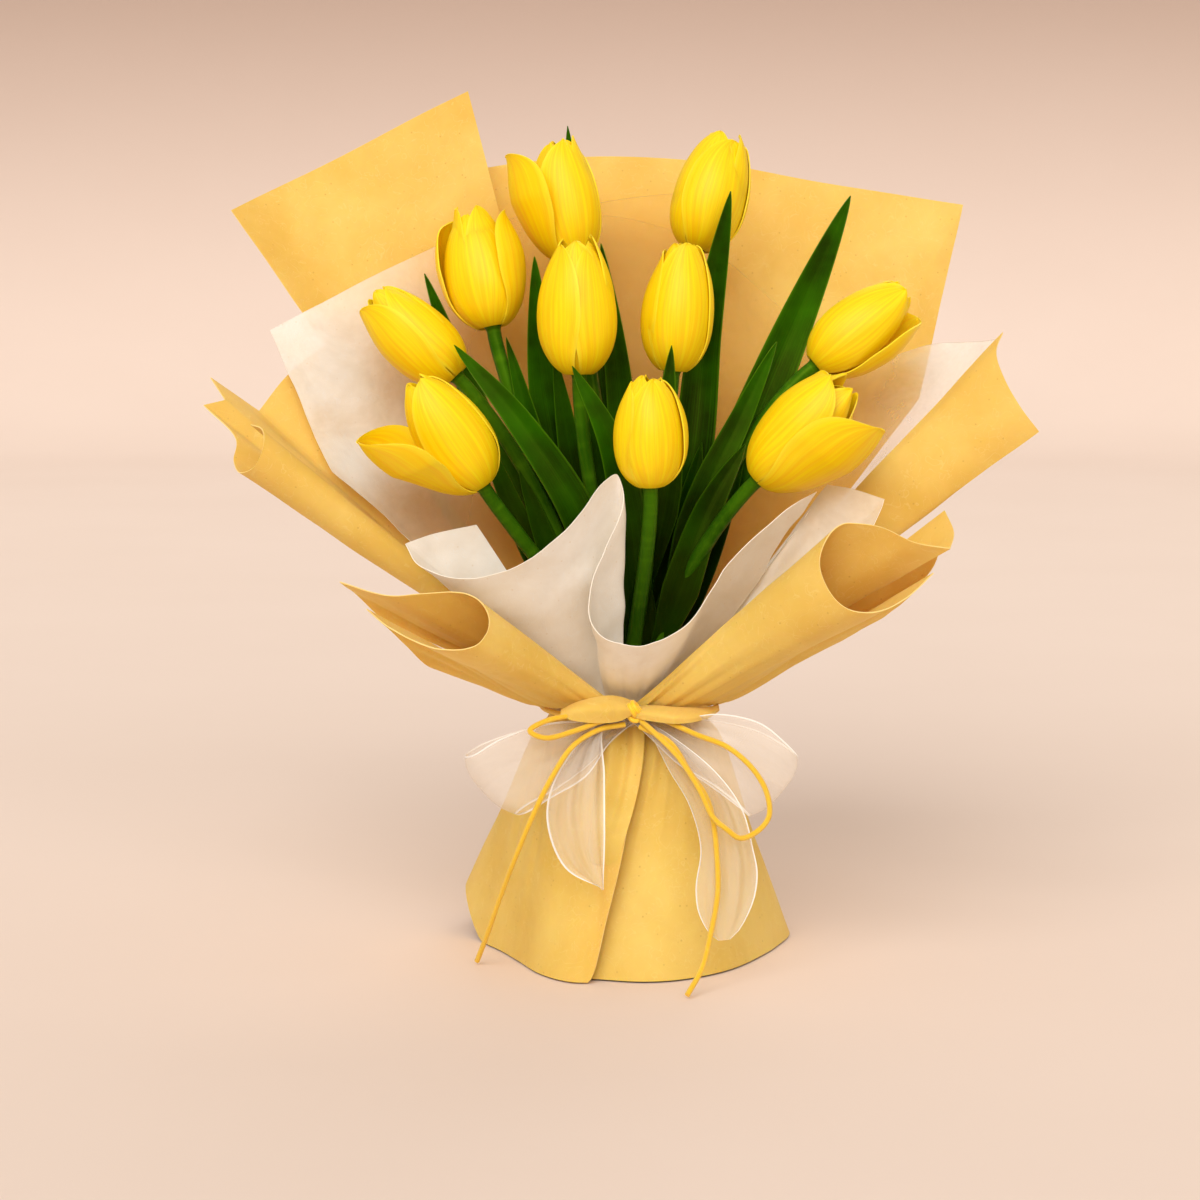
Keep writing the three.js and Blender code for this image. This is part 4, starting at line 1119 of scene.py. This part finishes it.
# %% [markdown]
# ## The cord's finish, band and knot
# A golden thread twisted from fine strands. Each run has a copy with as many turns as its length
# needs. The cord goes once round the neck over the ribbon, and its knot is three short rings.

# %% Golden cord
TWIST_PITCH = 1.6
STRANDS = 2


def golden_cord(length):
    material, tree, shader = new_material(
        f"golden cord {round(length * 1000)} mm", Specular_IOR_Level=0.5, Sheen_Weight=0.25,
    )
    on_cord = add_node(tree, "SeparateXYZ", Vector=add_node(tree, "UVMap")["UV"])
    turned = multiply(on_cord["Y"], round(length * 1000 / TWIST_PITCH))
    lay = add(turned, multiply(on_cord["X"], STRANDS))
    ridge = calculate("SINE", multiply(lay, 2 * math.pi))
    twist_relief_and_painted_shade = spread(ridge, -1, 1)
    fuzz = noise_on(tree, 900, 3)
    # Grooves between the strands are painted darker and crests paler: painted shade and painted
    # highlight along the twist, besides the bump.
    colour = blend(twist_relief_and_painted_shade, (255, 190, 4), (255, 218, 40))
    colour = tint(colour, spread(fuzz, 0.5, 0.8), 0.5, (255, 226, 96))
    coat(shader, colour, fuzz, 0.34, 0.55, twist_relief_and_painted_shade, 0.5, 0.2)
    return material


for cord in cord_runs:
    length = sum(s.calc_length() for s in cord.data.splines)
    paint(cord, golden_cord(length))
print("the cord's strands slant once in", TWIST_PITCH, "mm")

# %% Cord band and knot
CORD_BAND = table("""
4 -46 120.5, 9 -42.5 121.1, 14 -39 120.4, 19 -35.5 118.7, 23.5 -32.5 117.2, 30 -28 117,
37.5 -16 117, 40.7 0 117, 37.5 14.4 117, 28 24.6 117, 15 31 117, 0 33.6 117, -15 31 117,
-28 24.6 117, -37.5 14.4 117, -40.7 0 117, -37.5 -16 117, -30 -28 117, -22 -33 117.2,
-16.5 -36 118.6, -11 -39 120.4, -6 -42.5 121.1, -1 -46 120.5
""")
KNOT_MIDDLE = np.array([1.8, -49, 123])
RING_RADIUS, RING_THICK = 2.7, 2.4

band_cord, band_line = cord_curve("cord_turn", CORD_BAND)
cord_tie = [as_mesh(band_cord, golden_cord(line_length(band_line)))]
ring_cord = golden_cord(2 * math.pi * RING_RADIUS * MM)
for across, up, tilt in (-0.9, -0.6, (0, 62, 6)), (0.9, 0.7, (0, 54, -8)), (0.6, -2.6, (80, 10, 0)):
    bpy.ops.mesh.primitive_torus_add(
        major_segments=40, minor_segments=14, major_radius=RING_RADIUS * MM,
        minor_radius=RING_THICK / 2 * MM, location=in_place(KNOT_MIDDLE + [across, 0, up]),
        rotation=[math.radians(v) for v in tilt],
    )
    bpy.ops.object.transform_apply()
    cord_tie.append(bpy.context.object)
    paint(cord_tie[-1], ring_cord)
dress(join_pieces(cord_tie, "golden_cord_turn_and_knot"), "cord_band")

# %% [markdown]
# ## The elastic band
# Inside the wrap an elastic band holds the stems. Its solid has its shape already, so it stays.

# %% Elastic band
rubber, tree, shader = new_material("elastic band", Specular_IOR_Level=0.3)
grain = noise_on(tree, 420, 4)
coat(shader, blend(grain, (166, 118, 62), (196, 150, 92)), grain, 0.55, 0.75, grain, 0.3, 0.15)
paint(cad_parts["stem_band"], rubber)

# %% [markdown]
# ## Floor and light
# The plain floor bends up into a low round wall, so no horizon shows. A broad soft sun in front on
# the left is the main light, a lower one opens the shadows, and one behind picks out the upper
# edges.

# %% Floor
FLOOR_REACH, WALL_BEND, WALL_HEIGHT = 3.2, 0.9, 1.1
FLOOR_LEVEL = -0.0006

bpy.ops.mesh.primitive_circle_add(vertices=128, radius=FLOOR_REACH, location=(0, 0, FLOOR_LEVEL))
floor = bpy.context.object
floor.name = "floor"
bpy.ops.object.mode_set(mode="EDIT")
bpy.ops.mesh.edge_face_add()
bpy.ops.mesh.select_mode(type="EDGE")
profile = [
    (FLOOR_REACH + WALL_BEND * math.sin(a), WALL_BEND * (1 - math.cos(a)))
    for a in np.radians(range(10, 91, 10))
]
profile.append((FLOOR_REACH + WALL_BEND, WALL_HEIGHT))
width, lift = FLOOR_REACH, 0
for wider, higher in profile:
    bpy.ops.mesh.extrude_edges_move(TRANSFORM_OT_translate={"value": (0, 0, higher - lift)})
    bpy.ops.transform.resize(value=(wider / width, wider / width, 1), center_override=(0, 0, 0))
    width, lift = wider, higher
bpy.ops.object.mode_set(mode="OBJECT")
smooth_faces(floor, 60)
floor_finish, tree, shader = new_material("pale floor", Specular_IOR_Level=0.1, Roughness=0.85)
colour = blend(noise_on(tree, 3, 5), (230, 212, 200), (235, 218, 207))
# The wall is painted darker towards its top, a painted shade, so the background reads darker than
# the floor.
colour = blend(spread(place_on(tree, "Z"), 0, 1), colour, (158, 134, 120))
feed(shader["Base Color"], colour)
paint(floor, floor_finish)
print("floor is", [round(v, 1) for v in floor.dimensions], "m")

# %% Lamps and background
for name, place, strength, softness, colour in (
    ("key lamp", (-0.6, -1.8, 1.5), 1.65, 42, (1, 0.98, 0.94)),
    ("back lamp", (0.5, 1.5, 1.4), 0.5, 40, (1, 0.98, 0.95)),
    ("fill lamp", (0.4, -1.8, 0.7), 1.15, 50, (1, 0.98, 0.95)),
):
    bpy.ops.object.light_add(type="SUN", location=place)
    lamp = bpy.context.object
    lamp.name = name
    lamp.data.energy, lamp.data.angle = strength, math.radians(softness)
    lamp.data.color = colour
    lamp.rotation_euler = (-lamp.location).to_track_quat("-Z", "Y").to_euler()
world = bpy.data.worlds.new("studio")
bpy.context.scene.world = world
world.use_nodes = True
feed_all(world.node_tree.nodes["Background"].inputs, dict(Color=(244, 231, 217), Strength=0.62))
bpy.context.scene.view_settings.view_transform = "Standard"
print("three soft suns and a pale background")
